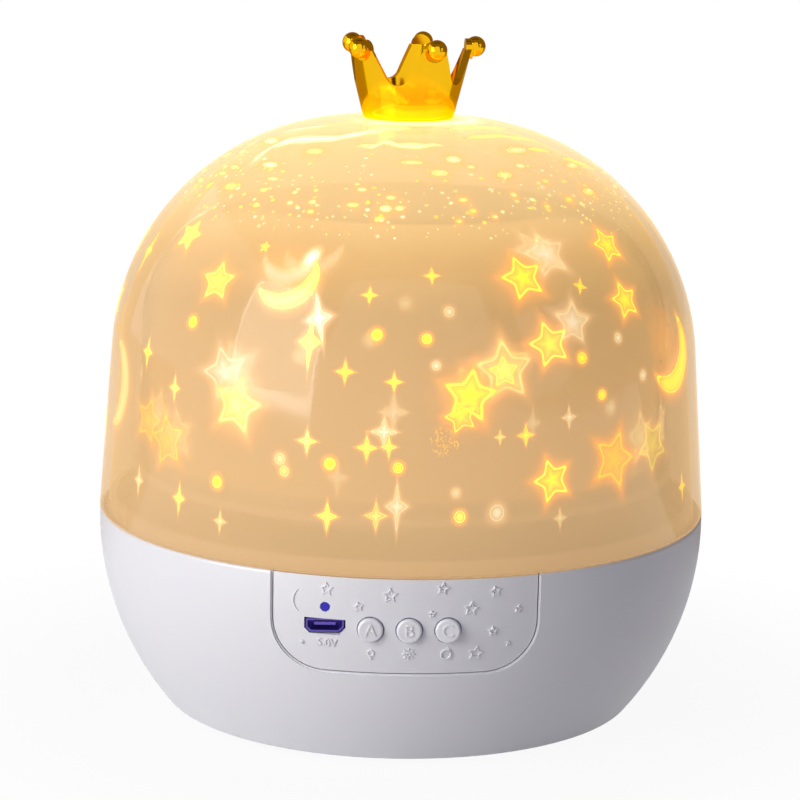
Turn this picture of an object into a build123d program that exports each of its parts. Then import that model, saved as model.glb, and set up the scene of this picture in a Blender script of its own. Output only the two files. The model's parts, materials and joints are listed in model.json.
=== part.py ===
from build123d import *
from math import acos, cos, pi, radians, sin, sqrt, tan
import os

# Star night light: a white bowl-shaped base with a control panel, a warm translucent
# dome with a gold crown on top, and inside the dome a clear cup with a star film that
# a geared motor turns round a lamp post. Millimetres, +Z up, controls face -Y, origin
# on the floor under the middle of the base.

# ---------------------------------------------------------------- outer form
seam_level = 42.6  # where the dome stands on the bowl
foot_stand = 1.2  # how far the rubber feet lift the bowl
bowl_radius = 65.0  # widest radius of the bowl
bowl_arc_drop = 1.8  # its widest level lies this far below the seam
bowl_wall = 2.2
bowl_foot_round = 1.0
rim_round = 0.5
rim_gap = 0.3  # air between the dome's wall and the collar inside it

dome_overhang = 0.05  # dome's rim beyond the bowl's widest radius
dome_draft = 4.4
dome_rise = 83.5  # seam to the flat land that carries the crown
land_margin = 0.97  # flat land beyond the crown's foot
dome_wall = 1.8
dome_lip_round = 0.7

# ------------------------------------------------------------- general fits
part_gap = 0.3  # air round a piece that sits in an opening
screw_gap = 0.05  # air between a screw and its hole
running_gap = 0.05  # radial play of a turning fit
float_gap = 0.1  # axial play of a turning piece
cut_reach = 1.0  # how far a cut runs out past the face that it opens

# --------------------------------------------------------- bowl and bottom
collar_height = 2.8  # collar above the seam, inside the dome
collar_depth = 1.8  # collar below the seam, on the bowl's wall
collar_wall = 1.3

cover_thickness = 3.0
cover_margin = 4.7  # screws to the cover's edge
bowl_foot_wall = 3.5  # cover's edge to the bowl's foot
ledge_thickness = 2.0
ledge_reach = 4.5  # ledge inside the screws' circle
bottom_screw_count = 4
bottom_post_radius = 3.5
bottom_post_height = 8.0
bottom_post_gap = 3.9  # battery bay's corner to a post
screw_sink = 1.6  # depth of the sunk screw heads under the base
corner_angle = 45.0  # first screw of each set of four

foot_count = 4
foot_radius = 4.5
foot_inset = 6.7  # feet from the cover's edge
foot_recess = 0.8
foot_round = 0.6

# -------------------------------------------------------------- control panel
panel_half_width = 26.2
panel_drop = 20.1  # seam to the panel's lower edge
panel_corner = 10.5
panel_recess = 0.5  # panel face behind the bowl's face
panel_thickness = 2.0
panel_gap = 0.2
panel_lip = 0.4  # step round the panel's window
flange_reach = 2.5  # flange behind the bowl's wall
flange_thickness = 1.2
flange_gap = 0.1

button_middle_x = 0.75
button_pitch = 7.6
button_drop = 10.6
button_radius = 2.5
button_play = 0.15  # radial air round a button
button_proud = 0.9
button_round = 0.5
button_flange_radius = 3.1
button_flange_thickness = 0.9
button_flange_setback = 5.3  # behind the bowl's widest radius
button_stem_radius = 1.5
button_travel = 0.5
button_spare = 0.1  # air left between stem and switch when pressed

socket_x = -15.8
socket_drop = 10.5
socket_half_width = 3.75
socket_height = 2.7
socket_chamfer = 0.9
socket_length = 8.4
socket_depth = 5.2
socket_wall = 0.35
socket_gap = 0.3
tongue_half_width = 2.1
tongue_thickness = 0.6

light_drop = 6.4
light_pipe_radius = 0.85
indicator_radius = 1.5
indicator_length = 3.4

board_setback = 12.4  # front of the control board behind the bowl's widest radius
board_thickness = 1.6
board_half_width = 21.5
board_drop = 4.6  # seam to the board's upper edge
board_height = 13.0
board_screw_x = 19.0
board_screw_rise = 2.4  # above the board's lower edge
board_post_radius = 2.1
switch_size = 6.0
switch_depth = 3.5
plunger_radius = 1.7
plunger_length = 0.8
chip_size = (9.0, 1.4, 6.0)
header_size = (7.5, 4.0, 3.0)
chip_x = -7.0
header_x = 7.5

# --------------------------------------------------------------- deck
deck_drop = 2.0  # seam to the deck's upper face
deck_thickness = 2.0
deck_gap = 0.3  # deck edge to the collar
deck_screw_inset = 5.1  # from the deck's edge
deck_screw_count = 4
deck_post_radius = 3.6
deck_post_length = 12.0

# ------------------------------------------------------------------- screws
case_screw = (2.6, 1.3, 1.2, 8.0)  # head radius, head height, shank radius, length
board_screw = (1.8, 1.0, 0.9, 5.5)
lamp_screw = (1.7, 0.9, 0.8, 5.0)
crown_screw_form = (5.4, 1.2, 1.3, 7.5)
door_screw_form = (2.4, 0.9, 1.2, 5.2)
deck_screw = (2.3, 1.1, 8.0)  # countersunk: head radius, shank radius, length
motor_screw = (1.9, 1.0, 4.0)

# ------------------------------------------------------------------- gearing
gear_module = 1.0
pressure_angle = 20.0
backlash = 0.24
ring_teeth = 72
wheel_teeth = 36
pinion_teeth = 12
gear_addendum = 0.85  # in modules
gear_dedendum = 1.2
idler_direction = 90.0  # from the middle to the idler, degrees from +X
motor_direction = -25.0  # from the idler to the motor

idler_seat = 0.8  # boss under the idler on the deck
idler_boss_radius = 3.2
idler_boss_depth = 3.0
wheel_thickness = 2.8
idler_pinion_length = 5.6
ring_clearance = 1.1  # wheel to the ring above it
idler_pin_radius = 1.5
pin_head_radius = 2.6
pin_head_height = 0.8

motor_radius = 12.2
motor_height = 12.3
motor_round = 1.0
motor_nose_radius = 3.5
motor_cap_radius = 5.0
motor_cap_height = 1.2
motor_screw_inset = 3.7
motor_tab = (2.4, 0.5, 3.2)
motor_tab_reach = 8.0
shaft_radius = 1.0
shaft_depth = 8.0

# ------------------------------------------------------- spindle and turntable
spindle_radius = 8.0
spindle_shoulder = 10.2
spindle_bore = 4.2
hub_wall = 3.4
hub_rise = 1.0  # hub above the turntable's plate
plate_thickness = 1.6
plate_margin = 0.8  # turntable's plate beyond the cup's rim
ring_wall = 2.6
rib_count = 8
rib_height = 2.4
rib_thickness = 1.4
clip_thickness = 0.8
clip_reach = 2.3
clip_groove = 0.8
clip_mouth = 9.0
lamp_rise = 9.0  # turntable's plate to the top of the lamp post

cup_room = 8.05  # dome's rim to the cup's rim
cup_draft = 2.0
cup_top_room = 17.5  # cup's top to the dome's land
cup_shoulder = 26.0
cup_wall = 1.2
cup_ring_height = 2.5
cup_ring_wall = 1.2
film_gap = 0.15
film_thickness = 0.35

lamp_board_radius = 14.0
lamp_board_thickness = 1.6
lamp_screw_count = 2
warm_base_radius = 3.8
warm_base_height = 1.4
warm_lens_radius = 2.8
colour_led_count = 4
colour_led_inset = 4.5  # from the lamp board's edge
colour_led_radius = 2.5
colour_led_height = 4.0

# --------------------------------------------------------------- battery bay
cell_count = 4
cell_radius = 5.25
cell_length = 44.5
cell_nub_radius = 1.9
cell_nub_length = 1.0
cell_pitch = 10.9
cell_lift = 0.3  # cells above the door
bay_end_room = 2.45  # room at each end of the cells
bay_wall = 1.5
bay_side_gap = 0.3
contact_thickness = 0.4
contact_gap = 0.2
contact_spacing = 1.0  # between neighbouring contact plates
spring_thickness = 0.3
spring_half_height = 3.8
spring_width = 5.0

door_thickness = 1.8
door_gap = 0.3
door_overlap = 2.4  # door past the bay's end
door_pin_radius = 0.8
door_pin_length = 1.4
door_tab_half_width = 4.5
door_tab_length = 5.6
door_screw_inset = 2.8  # screw from the tab's free edge
door_screw_play = 0.5
door_boss_radius = 3.4
door_boss_height = 5.0

# --------------------------------------------------------------------- leads
lead_radius = 1.0  # a pair of wires in one sleeve
lead_pitch = 2.3  # between the leads at the board's header
lead_bend_share = 0.45  # of the shorter run beside a bend
battery_lead_x = -14.0  # where its lead leaves the battery bay
battery_lead_level = 9.6

# --------------------------------------------------------------------- crown
crown_points = 5
crown_first = 22.8  # first point, degrees from the front towards +X
crown_base_radius = 9.5
crown_tip_radius = 13.3
crown_ball_level = 15.1  # ball centres above the land
crown_ball_radius = 2.15
crown_ball_proud = 0.7  # ball centres outside the tips
crown_tip_drop = 0.5  # centres of the rounded tips below the ball centres
crown_wall = 1.5
crown_floor = 1.5
crown_foot_round = 0.5
crown_valley_level = 7.5
crown_valley_radius = 2.6
crown_valley_angle = 28.0
crown_boss_radius = 3.2
crown_boss_height = 6.0
crown_spigot = 1.5  # boss below the land, in the dome's hole

# ------------------------------------------------------ levels and positions
bowl_bottom = foot_stand
cover_top = bowl_bottom + cover_thickness
ledge_top = cover_top + ledge_thickness
deck_top = seam_level - deck_drop
deck_bottom = deck_top - deck_thickness
land_level = seam_level + dome_rise
collar_top = seam_level + collar_height

door_top = bowl_bottom + door_thickness
bay_floor = door_top + float_gap
cell_axis_level = door_top + cell_lift + cell_radius
bay_roof = cell_axis_level + cell_radius + bay_side_gap
bay_half_width = (cell_count - 1) * cell_pitch / 2 + cell_radius + bay_side_gap
bay_half_length = cell_length / 2 + bay_end_room
bay_corner = sqrt((bay_half_width + bay_wall) ** 2 + (bay_half_length + bay_wall) ** 2)
cell_xs = [cell_pitch * (place - (cell_count - 1) / 2) for place in range(cell_count)]
door_half_width = bay_half_width - door_gap
hinge_level = bowl_bottom + door_thickness / 2
hinge_y = bay_half_length + door_overlap
door_free_y = -hinge_y
tab_free_y = door_free_y - door_tab_length
door_screw_y = tab_free_y + door_screw_inset

bottom_screw_circle = bay_corner + bottom_post_gap + bottom_post_radius
ledge_radius = bottom_screw_circle - ledge_reach
cover_radius = bottom_screw_circle + cover_margin
foot_circle = cover_radius - foot_inset
bowl_foot_radius = cover_radius + bowl_foot_wall
bowl_spread = bowl_radius - bowl_foot_radius
bowl_arc_rise = seam_level - bowl_arc_drop - bowl_bottom
bowl_arc = (bowl_arc_rise**2 + bowl_spread**2) / (2 * bowl_spread)

dome_rim_radius = bowl_radius + dome_overhang
dome_brow = dome_rim_radius - dome_rise * tan(radians(dome_draft))
dome_bend = tan(radians(45 + dome_draft / 2))
dome_shoulder = (dome_brow - crown_base_radius - land_margin) * dome_bend
collar_radius = dome_rim_radius - dome_wall - rim_gap - collar_height * tan(radians(dome_draft))
deck_radius = collar_radius - collar_wall - deck_gap
deck_screw_circle = deck_radius - deck_screw_inset

ring_pitch_radius = gear_module * ring_teeth / 2
wheel_pitch_radius = gear_module * wheel_teeth / 2
pinion_pitch_radius = gear_module * pinion_teeth / 2
idler_reach = ring_pitch_radius - pinion_pitch_radius
idler_x = idler_reach * cos(radians(idler_direction))
idler_y = idler_reach * sin(radians(idler_direction))
motor_reach = wheel_pitch_radius + pinion_pitch_radius
motor_x = idler_x + motor_reach * cos(radians(motor_direction))
motor_y = idler_y + motor_reach * sin(radians(motor_direction))
motor_screw_reach = motor_radius - motor_screw_inset

wheel_bottom = deck_top + idler_seat + float_gap
wheel_top = wheel_bottom + wheel_thickness
idler_top = wheel_top + idler_pinion_length
motor_pinion_bottom = deck_top + part_gap
motor_pinion_length = wheel_top + part_gap - motor_pinion_bottom
ring_bottom = wheel_top + ring_clearance
plate_bottom = idler_top + float_gap + pin_head_height + 2 * part_gap
plate_top = plate_bottom + plate_thickness
hub_top = plate_top + hub_rise
shoulder_level = ring_bottom - part_gap
clip_bottom = hub_top + float_gap
lamp_level = plate_top + lamp_rise
lamp_screw_circle = (spindle_bore + spindle_radius) / 2
colour_led_circle = lamp_board_radius - colour_led_inset

cup_rim_radius = dome_rim_radius - cup_room
cup_top_level = land_level - cup_top_room
plate_radius = cup_rim_radius + plate_margin
film_bottom = plate_top + cup_ring_height
cup_inner_radius = cup_rim_radius - cup_wall / cos(radians(cup_draft))
cup_ring_radius = cup_inner_radius - part_gap - cup_ring_height * tan(radians(cup_draft))

deck_corners = (deck_screw_circle, deck_screw_count, corner_angle)
bottom_corners = (bottom_screw_circle, bottom_screw_count, corner_angle)

panel_bottom_level = seam_level - panel_drop
button_level = seam_level - button_drop
socket_level = seam_level - socket_drop
light_level = seam_level - light_drop
board_high = seam_level - board_drop
board_low = board_high - board_height
board_screw_level = board_low + board_screw_rise
button_flange_front = button_flange_setback - bowl_radius
board_front = board_setback - bowl_radius
board_back = board_front + board_thickness
header_back = board_back + header_size[1]
header_level = board_high - header_size[2] / 2
switch_front = board_front - switch_depth
plunger_front = switch_front - plunger_length
stem_back = plunger_front - button_travel - button_spare
button_xs = [button_middle_x + step * button_pitch for step in (-1, 0, 1)]
crown_slope = (crown_tip_radius - crown_base_radius) / crown_ball_level

dome_form = (dome_rim_radius, dome_draft, seam_level, land_level, dome_shoulder)
cup_form = (cup_rim_radius, cup_draft, plate_top, cup_top_level, cup_shoulder)

STAND = (Align.CENTER, Align.CENTER, Align.MIN)
HANG = (Align.CENTER, Align.CENTER, Align.MAX)
HANG_OUT = (Align.MIN, Align.CENTER, Align.MAX)

os.makedirs("parts", exist_ok=True)


# ------------------------------------------------------------------- helpers
def finish(piece, label):
    """Label a finished piece and write it."""
    piece.part.label = label
    export_step(piece.part, f"parts/{label}.step")


def side_radius(level, inset):
    """Radius of the bowl's side at a level, moved inwards by inset."""
    rise = level - (seam_level - bowl_arc_drop)
    return bowl_radius - bowl_arc + sqrt((bowl_arc - inset) ** 2 - rise**2)


def bowl_section(inset, low, high):
    """Half section of the bowl between two levels, moved inwards by inset."""
    levels = (low, (low + high) / 2, high)
    foot, middle, rim = [(side_radius(level, inset), level) for level in levels]
    with BuildSketch(Plane.XZ) as section:
        with BuildLine():
            ThreePointArc(foot, middle, rim)
            Polyline(rim, (0, high), (0, low), foot)
        make_face()
    return section.sketch


def bell_section(rim_radius, draft, rim_level, top_level, shoulder, inset):
    """Half section of a drafted wall, round shoulder and flat top, moved inwards."""
    rim = rim_radius - inset / cos(radians(draft))
    top = top_level - inset
    brow = rim - (top - rim_level) * tan(radians(draft))
    with BuildSketch(Plane.XZ) as section:
        with BuildLine():
            Polyline((0, rim_level), (rim, rim_level), (brow, top), (0, top), close=True)
        make_face()
        corner = section.vertices().group_by(Axis.Y)[-1].sort_by(Axis.X)[-1]
        fillet(corner, shoulder - inset)
    return section.sketch


def ring_section(inner, outer, low, high):
    """Half section of a plain ring."""
    with BuildSketch(Plane.XZ) as section:
        with Locations(((inner + outer) / 2, (low + high) / 2)):
            Rectangle(outer - inner, high - low)
    return section.sketch


def panel_outline(grow, high):
    """U-shaped outline of the control panel seen from the front, grown all round."""
    low = panel_bottom_level - grow
    with BuildSketch(Plane.XZ.offset(-board_back)) as outline:
        with Locations((0, (low + high) / 2)):
            Rectangle(2 * (panel_half_width + grow), high - low)
        fillet(outline.vertices().group_by(Axis.Y)[0], panel_corner + grow)
    return outline.sketch


def wall_layer(outline, outer_inset, inner_inset, high):
    """The part of a layer of the bowl's side that lies behind a front outline."""
    low = panel_bottom_level - 2 * flange_reach
    with BuildPart() as layer:
        revolve(bowl_section(outer_inset, low, high), axis=Axis.Z)
        revolve(bowl_section(inner_inset, low, high), axis=Axis.Z, mode=Mode.SUBTRACT)
        extrude(outline, amount=bowl_radius, mode=Mode.INTERSECT)
    return layer.part


def socket_outline(grow):
    """Outline of the power socket seen from the front, with its two lower corners cut."""
    half_width = socket_half_width + grow
    with BuildSketch(Plane.XZ.offset(-board_front)) as outline:
        with Locations((socket_x, socket_level)):
            Rectangle(2 * half_width, socket_height + 2 * grow)
        chamfer(outline.vertices().group_by(Axis.Y)[0], socket_chamfer + grow / 2)
    return outline.sketch


def tooth_half_angle(radius, teeth, thinning):
    """Half the angle that an involute tooth covers at a radius."""
    pitch_radius = gear_module * teeth / 2
    base_radius = pitch_radius * cos(radians(pressure_angle))
    contact = acos(min(1, base_radius / radius))
    spread = tan(radians(pressure_angle)) - radians(pressure_angle) - tan(contact) + contact
    return pi / (2 * teeth) - thinning / (2 * pitch_radius) + spread


def gear_face(teeth, turn, addendum, dedendum, thinning):
    """Outline of a gear, with one tooth that points turn degrees from +X."""
    pitch_radius = gear_module * teeth / 2
    root = pitch_radius - gear_module * dedendum
    tip = pitch_radius + gear_module * addendum
    flank = [(r, tooth_half_angle(r, teeth, thinning)) for r in (root, pitch_radius, tip)]
    profile = [(r, -half) for r, half in flank] + flank[::-1]
    points = []
    for tooth in range(teeth):
        middle = radians(turn) + 2 * pi * tooth / teeth
        points += [(r * cos(middle + half), r * sin(middle + half)) for r, half in profile]
    with BuildSketch() as face:
        with BuildLine():
            Polyline(*points, close=True)
        make_face()
    return face.sketch


def gear(teeth, turn, thickness):
    """An external gear that stands on the XY plane."""
    outline = gear_face(teeth, turn, gear_addendum, gear_dedendum, backlash / 2)
    with BuildPart() as blank:
        extrude(outline, amount=thickness)
    return blank.part


def pan_screw(head_radius, head_height, shank_radius, length):
    """A screw that points down, with the underside of its head on the XY plane."""
    with BuildPart() as screw:
        Cylinder(head_radius, head_height, align=STAND)
        chamfer(screw.edges().group_by(Axis.Z)[-1], head_height / 4)
        Cylinder(shank_radius, length, align=HANG)
    return screw.part


def flat_screw(head_radius, shank_radius, length):
    """A countersunk screw that points down, with the top of its head on the XY plane."""
    neck = head_radius - shank_radius
    outline = [(0, 0), (head_radius, 0), (shank_radius, -neck), (shank_radius, -length), (0, -length)]
    with BuildPart() as screw:
        with BuildSketch(Plane.XZ):
            with BuildLine():
                Polyline(*outline, close=True)
            make_face()
        revolve(axis=Axis.Z)
    return screw.part


def lead(points):
    """A round lead along straight runs, with bends as wide as the runs beside them allow."""
    route = [Vector(*point) for point in points]
    bends = []
    for before, corner, after in zip(route, route[1:], route[2:]):
        turn = (corner - before).get_angle(after - corner)
        run = min((corner - before).length, (after - corner).length)
        bends.append(lead_bend_share * run / tan(radians(turn / 2)))
    print("lead bends", [round(bend, 1) for bend in bends])
    with BuildPart() as tube:
        with BuildLine() as path:
            FilletPolyline(*route, radius=bends)
        with BuildSketch(Plane(path.line @ 0, z_dir=path.line % 0)):
            Circle(lead_radius)
        sweep()
    return tube.part


# ----------------------------------------------------------------- base shell
# The hollow of the bowl, with the screw posts left standing in it.
with BuildPart() as bowl_hollow:
    revolve(bowl_section(bowl_wall, ledge_top, seam_level), axis=Axis.Z)
    with Locations((0, 0, deck_bottom)), PolarLocations(*deck_corners):
        Cylinder(deck_post_radius, deck_post_length, align=HANG, mode=Mode.SUBTRACT)
        Box(bowl_radius, deck_post_radius, deck_post_length, align=HANG_OUT, mode=Mode.SUBTRACT)
    with Locations((0, 0, ledge_top)), PolarLocations(*bottom_corners):
        Cylinder(bottom_post_radius, bottom_post_height, align=STAND, mode=Mode.SUBTRACT)

collar_inner = collar_radius - collar_wall
collar_root = ring_section(
    collar_inner, side_radius(seam_level, bowl_wall / 2), seam_level - collar_depth, seam_level
)
collar_ring = ring_section(collar_inner, collar_radius, seam_level, collar_top)
cover_seat = ring_section(0, cover_radius + part_gap, bowl_bottom, cover_top)
ledge_opening = ring_section(0, ledge_radius, cover_top, ledge_top)
window = wall_layer(panel_outline(0, seam_level), -cut_reach, 2 * bowl_wall, seam_level)
window_step = wall_layer(panel_outline(panel_lip, seam_level), -cut_reach, panel_lip, seam_level)

with BuildPart() as base_shell:
    revolve(bowl_section(0, bowl_bottom, seam_level), axis=Axis.Z)
    fillet(base_shell.edges().group_by(Axis.Z)[0], bowl_foot_round)
    fillet(base_shell.edges().group_by(Axis.Z)[-1], rim_round)
    add(bowl_hollow.part, mode=Mode.SUBTRACT)
    revolve(collar_root, axis=Axis.Z)
    revolve(cover_seat, axis=Axis.Z, mode=Mode.SUBTRACT)
    revolve(ledge_opening, axis=Axis.Z, mode=Mode.SUBTRACT)
    add([window, window_step], mode=Mode.SUBTRACT)
    revolve(collar_ring, axis=Axis.Z)
    with Locations((0, 0, deck_bottom)), PolarLocations(*deck_corners):
        Cylinder(deck_screw[1] + screw_gap, deck_screw[2], align=HANG, mode=Mode.SUBTRACT)
    with Locations((0, 0, cover_top)), PolarLocations(*bottom_corners):
        Cylinder(case_screw[2] + screw_gap, case_screw[3], align=STAND, mode=Mode.SUBTRACT)
finish(base_shell, "base_shell")

# -------------------------------------------------------------- control panel
panel_high = seam_level - panel_gap
flange_high = seam_level - collar_depth - part_gap
flange_inset = bowl_wall + flange_gap
plate_outline = panel_outline(-panel_gap, panel_high)
flange_outline = panel_outline(flange_reach, flange_high)
flange_hole = panel_outline(-flange_reach, seam_level)

with BuildPart() as panel_flange:
    add(wall_layer(flange_outline, flange_inset, flange_inset + flange_thickness, flange_high))
    extrude(flange_hole, amount=bowl_radius, mode=Mode.SUBTRACT)

with BuildPart() as control_panel:
    add(wall_layer(plate_outline, panel_recess, panel_recess + panel_thickness, panel_high))
    add(panel_flange.part)
    with BuildSketch(Plane.XZ.offset(-board_front)):
        for side in (-1, 1):
            with Locations((side * board_screw_x, board_screw_level)):
                Circle(board_post_radius)
    extrude(until=Until.NEXT)
    with BuildSketch(Plane.XZ.offset(-board_front)):
        for side in (-1, 1):
            with Locations((side * board_screw_x, board_screw_level)):
                Circle(board_screw[2] + screw_gap)
    extrude(amount=board_screw[3], mode=Mode.SUBTRACT)
    with BuildSketch(Plane.XZ.offset(-board_front)):
        add(socket_outline(socket_gap))
        for button_x in button_xs:
            with Locations((button_x, button_level)):
                Circle(button_radius + button_play)
        with Locations((socket_x, light_level)):
            Circle(light_pipe_radius + button_play)
    extrude(amount=bowl_radius, mode=Mode.SUBTRACT)
finish(control_panel, "control_panel")

# -------------------------------------------------------------------- buttons
for letter, button_x in zip("abc", button_xs):
    face_radius = side_radius(button_level, panel_recess)
    button_front = -sqrt(face_radius**2 - button_x**2) - button_proud
    with BuildPart() as button:
        with BuildSketch(Plane.XZ.offset(-button_flange_front)):
            with Locations((button_x, button_level)):
                Circle(button_radius)
        extrude(amount=button_flange_front - button_front)
        fillet(button.edges().group_by(Axis.Y)[0], button_round)
        with BuildSketch(Plane.XZ.offset(-button_flange_front)):
            with Locations((button_x, button_level)):
                Circle(button_flange_radius)
        extrude(amount=-button_flange_thickness)
        with BuildSketch(Plane.XZ.offset(-button_flange_front - button_flange_thickness)):
            with Locations((button_x, button_level)):
                Circle(button_stem_radius)
        extrude(amount=button_flange_front + button_flange_thickness - stem_back)
    finish(button, f"button_{letter}")

# --------------------------------------------------------------- control board
with BuildPart() as control_board:
    with BuildSketch(Plane.XZ.offset(-board_back)):
        with Locations((0, (board_low + board_high) / 2)):
            Rectangle(2 * board_half_width, board_high - board_low)
        for side in (-1, 1):
            with Locations((side * board_screw_x, board_screw_level)):
                Circle(board_screw[2] + screw_gap, mode=Mode.SUBTRACT)
    extrude(amount=board_thickness)
    back_face = (Align.CENTER, Align.MIN, Align.CENTER)
    with Locations((chip_x, board_back, board_high - chip_size[2])):
        Box(*chip_size, align=back_face)
    with Locations((header_x, board_back, board_high - header_size[2])):
        Box(*header_size, align=back_face)
finish(control_board, "control_board")

with BuildPart() as board_screws:
    with Locations(Plane.XZ.offset(-board_back)):
        for side in (-1, 1):
            with Locations((side * board_screw_x, board_screw_level)):
                add(pan_screw(*board_screw), rotation=(180, 0, 0))
finish(board_screws, "board_screws")

for letter, button_x in zip("abc", button_xs):
    with BuildPart() as tact_switch:
        with BuildSketch(Plane.XZ.offset(-board_front)):
            with Locations((button_x, button_level)):
                Rectangle(switch_size, switch_size)
        extrude(amount=switch_depth)
        with BuildSketch(Plane.XZ.offset(-switch_front)):
            with Locations((button_x, button_level)):
                Circle(plunger_radius)
        extrude(amount=plunger_length)
    finish(tact_switch, f"tact_switch_{letter}")

with BuildPart() as usb_socket:
    extrude(socket_outline(0), amount=socket_length)
    with BuildPart(mode=Mode.PRIVATE) as socket_mouth:
        extrude(socket_outline(-socket_wall), amount=socket_length)
        with Locations((socket_x, board_front, socket_level)):
            Box(bowl_radius, 2 * (socket_length - socket_depth), bowl_radius, mode=Mode.SUBTRACT)
    add(socket_mouth.part, mode=Mode.SUBTRACT)
    tongue_reach = socket_length - socket_wall
    with Locations((socket_x, board_front, socket_level + tongue_thickness / 2)):
        Box(
            2 * tongue_half_width, tongue_reach, tongue_thickness,
            align=(Align.CENTER, Align.MAX, Align.CENTER),
        )
finish(usb_socket, "usb_socket")

with BuildPart() as indicator_led:
    with BuildSketch(Plane.XZ.offset(-board_front)):
        with Locations((socket_x, light_level)):
            Circle(indicator_radius)
    extrude(amount=indicator_length)
finish(indicator_led, "indicator_led")

light_front = -sqrt(side_radius(light_level, panel_recess) ** 2 - socket_x**2)
with BuildPart() as light_pipe:
    with BuildSketch(Plane.XZ.offset(indicator_length + part_gap - board_front)):
        with Locations((socket_x, light_level)):
            Circle(light_pipe_radius)
    extrude(amount=board_front - indicator_length - part_gap - light_front)
finish(light_pipe, "light_pipe")

# ---------------------------------------------------------------- bottom cover
with BuildPart() as bottom_cover:
    revolve(ring_section(0, cover_radius, bowl_bottom, cover_top), axis=Axis.Z)
    with Locations((0, 0, bowl_bottom)):
        Box(
            2 * (bay_half_width + bay_wall), 2 * (bay_half_length + bay_wall),
            bay_roof + bay_wall - bowl_bottom, align=STAND,
        )
    with Locations((0, door_screw_y, cover_top)):
        Cylinder(door_boss_radius, door_boss_height, align=STAND)
    with Locations((0, 0, bowl_bottom)):
        Box(
            2 * bay_half_width, 2 * bay_half_length,
            bay_roof - bowl_bottom, align=STAND, mode=Mode.SUBTRACT,
        )
        Box(
            2 * bay_half_width, 2 * (hinge_y + door_thickness / 2 + door_gap),
            bay_floor - bowl_bottom, align=STAND, mode=Mode.SUBTRACT,
        )
    with Locations((0, tab_free_y - door_gap, bowl_bottom)):
        Box(
            2 * (door_tab_half_width + door_gap), door_tab_length + door_gap,
            bay_floor - bowl_bottom, align=(Align.CENTER, Align.MIN, Align.MIN), mode=Mode.SUBTRACT,
        )
    with Locations((0, door_screw_y, bowl_bottom)):
        Cylinder(
            door_screw_form[2] + door_screw_play, cover_thickness + door_boss_height,
            align=STAND, mode=Mode.SUBTRACT,
        )
    with Locations(Location((battery_lead_x, -bay_half_length, battery_lead_level), (90, 0, 0))):
        Cylinder(lead_radius + screw_gap, bay_wall, align=STAND, mode=Mode.SUBTRACT)
    with Locations(Location((0, hinge_y, hinge_level), (0, 90, 0))):
        Cylinder(
            door_pin_radius + running_gap, 2 * (door_half_width + door_pin_length + door_gap),
            mode=Mode.SUBTRACT,
        )
    with Locations(Plane((0, 0, bowl_bottom), z_dir=(0, 0, -1))):
        with PolarLocations(*bottom_corners):
            CounterBoreHole(case_screw[2] + screw_gap, case_screw[0] + part_gap, screw_sink)
        with PolarLocations(foot_circle, foot_count):
            Cylinder(foot_radius, foot_recess, align=HANG, mode=Mode.SUBTRACT)
finish(bottom_cover, "bottom_cover")

with BuildPart() as rubber_feet:
    with PolarLocations(foot_circle, foot_count):
        Cylinder(foot_radius - float_gap, foot_stand + foot_recess, align=STAND)
    fillet(rubber_feet.edges().group_by(Axis.Z)[0], foot_round)
finish(rubber_feet, "rubber_feet")

with BuildPart() as bottom_screws:
    with Locations(Plane((0, 0, bowl_bottom + screw_sink), z_dir=(0, 0, -1))):
        with PolarLocations(*bottom_corners):
            add(pan_screw(*case_screw))
finish(bottom_screws, "bottom_screws")

# --------------------------------------------------------------- battery bay
cell_reach = bay_half_length - contact_thickness - contact_gap  # tip of each nub
for place, cell_x in enumerate(cell_xs):
    heading = 1 if place % 2 else -1
    with BuildPart() as cell:
        with Locations(Location((cell_x, heading * cell_reach, cell_axis_level), (heading * 90, 0, 0))):
            Cylinder(cell_nub_radius, cell_nub_length, align=STAND)
            with Locations((0, 0, cell_nub_length)):
                Cylinder(cell_radius, cell_length - cell_nub_length, align=STAND)
    finish(cell, f"aaa_cell_{place + 1}")

contact_height = 2 * spring_half_height
with BuildPart() as contact_plates:
    for pair_x in (-cell_pitch, cell_pitch):
        for side in (-1, 1):
            with Locations((pair_x, side * (bay_half_length - contact_thickness / 2), cell_axis_level)):
                Box(2 * cell_pitch - contact_spacing, contact_thickness, contact_height)
finish(contact_plates, "contact_plates")

spring_root = bay_half_length - contact_thickness
spring_reach = spring_root - (cell_length - cell_reach) - contact_gap
with BuildPart() as contact_springs:
    for place, cell_x in enumerate(cell_xs):
        heading = 1 if place % 2 else -1
        foot_y = -heading * spring_root
        nose_y = foot_y + heading * spring_reach
        low = cell_axis_level - spring_half_height
        high = cell_axis_level + spring_half_height
        with BuildSketch(Plane.YZ.offset(cell_x)):
            with BuildLine():
                ThreePointArc((foot_y, low), (nose_y, cell_axis_level), (foot_y, high))
                Line((foot_y, high), (foot_y, high - 2 * spring_thickness))
                ThreePointArc(
                    (foot_y, high - 2 * spring_thickness),
                    (nose_y - heading * spring_thickness, cell_axis_level),
                    (foot_y, low + 2 * spring_thickness),
                )
                Line((foot_y, low + 2 * spring_thickness), (foot_y, low))
            make_face()
        extrude(amount=spring_width / 2, both=True)
finish(contact_springs, "contact_springs")

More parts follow.
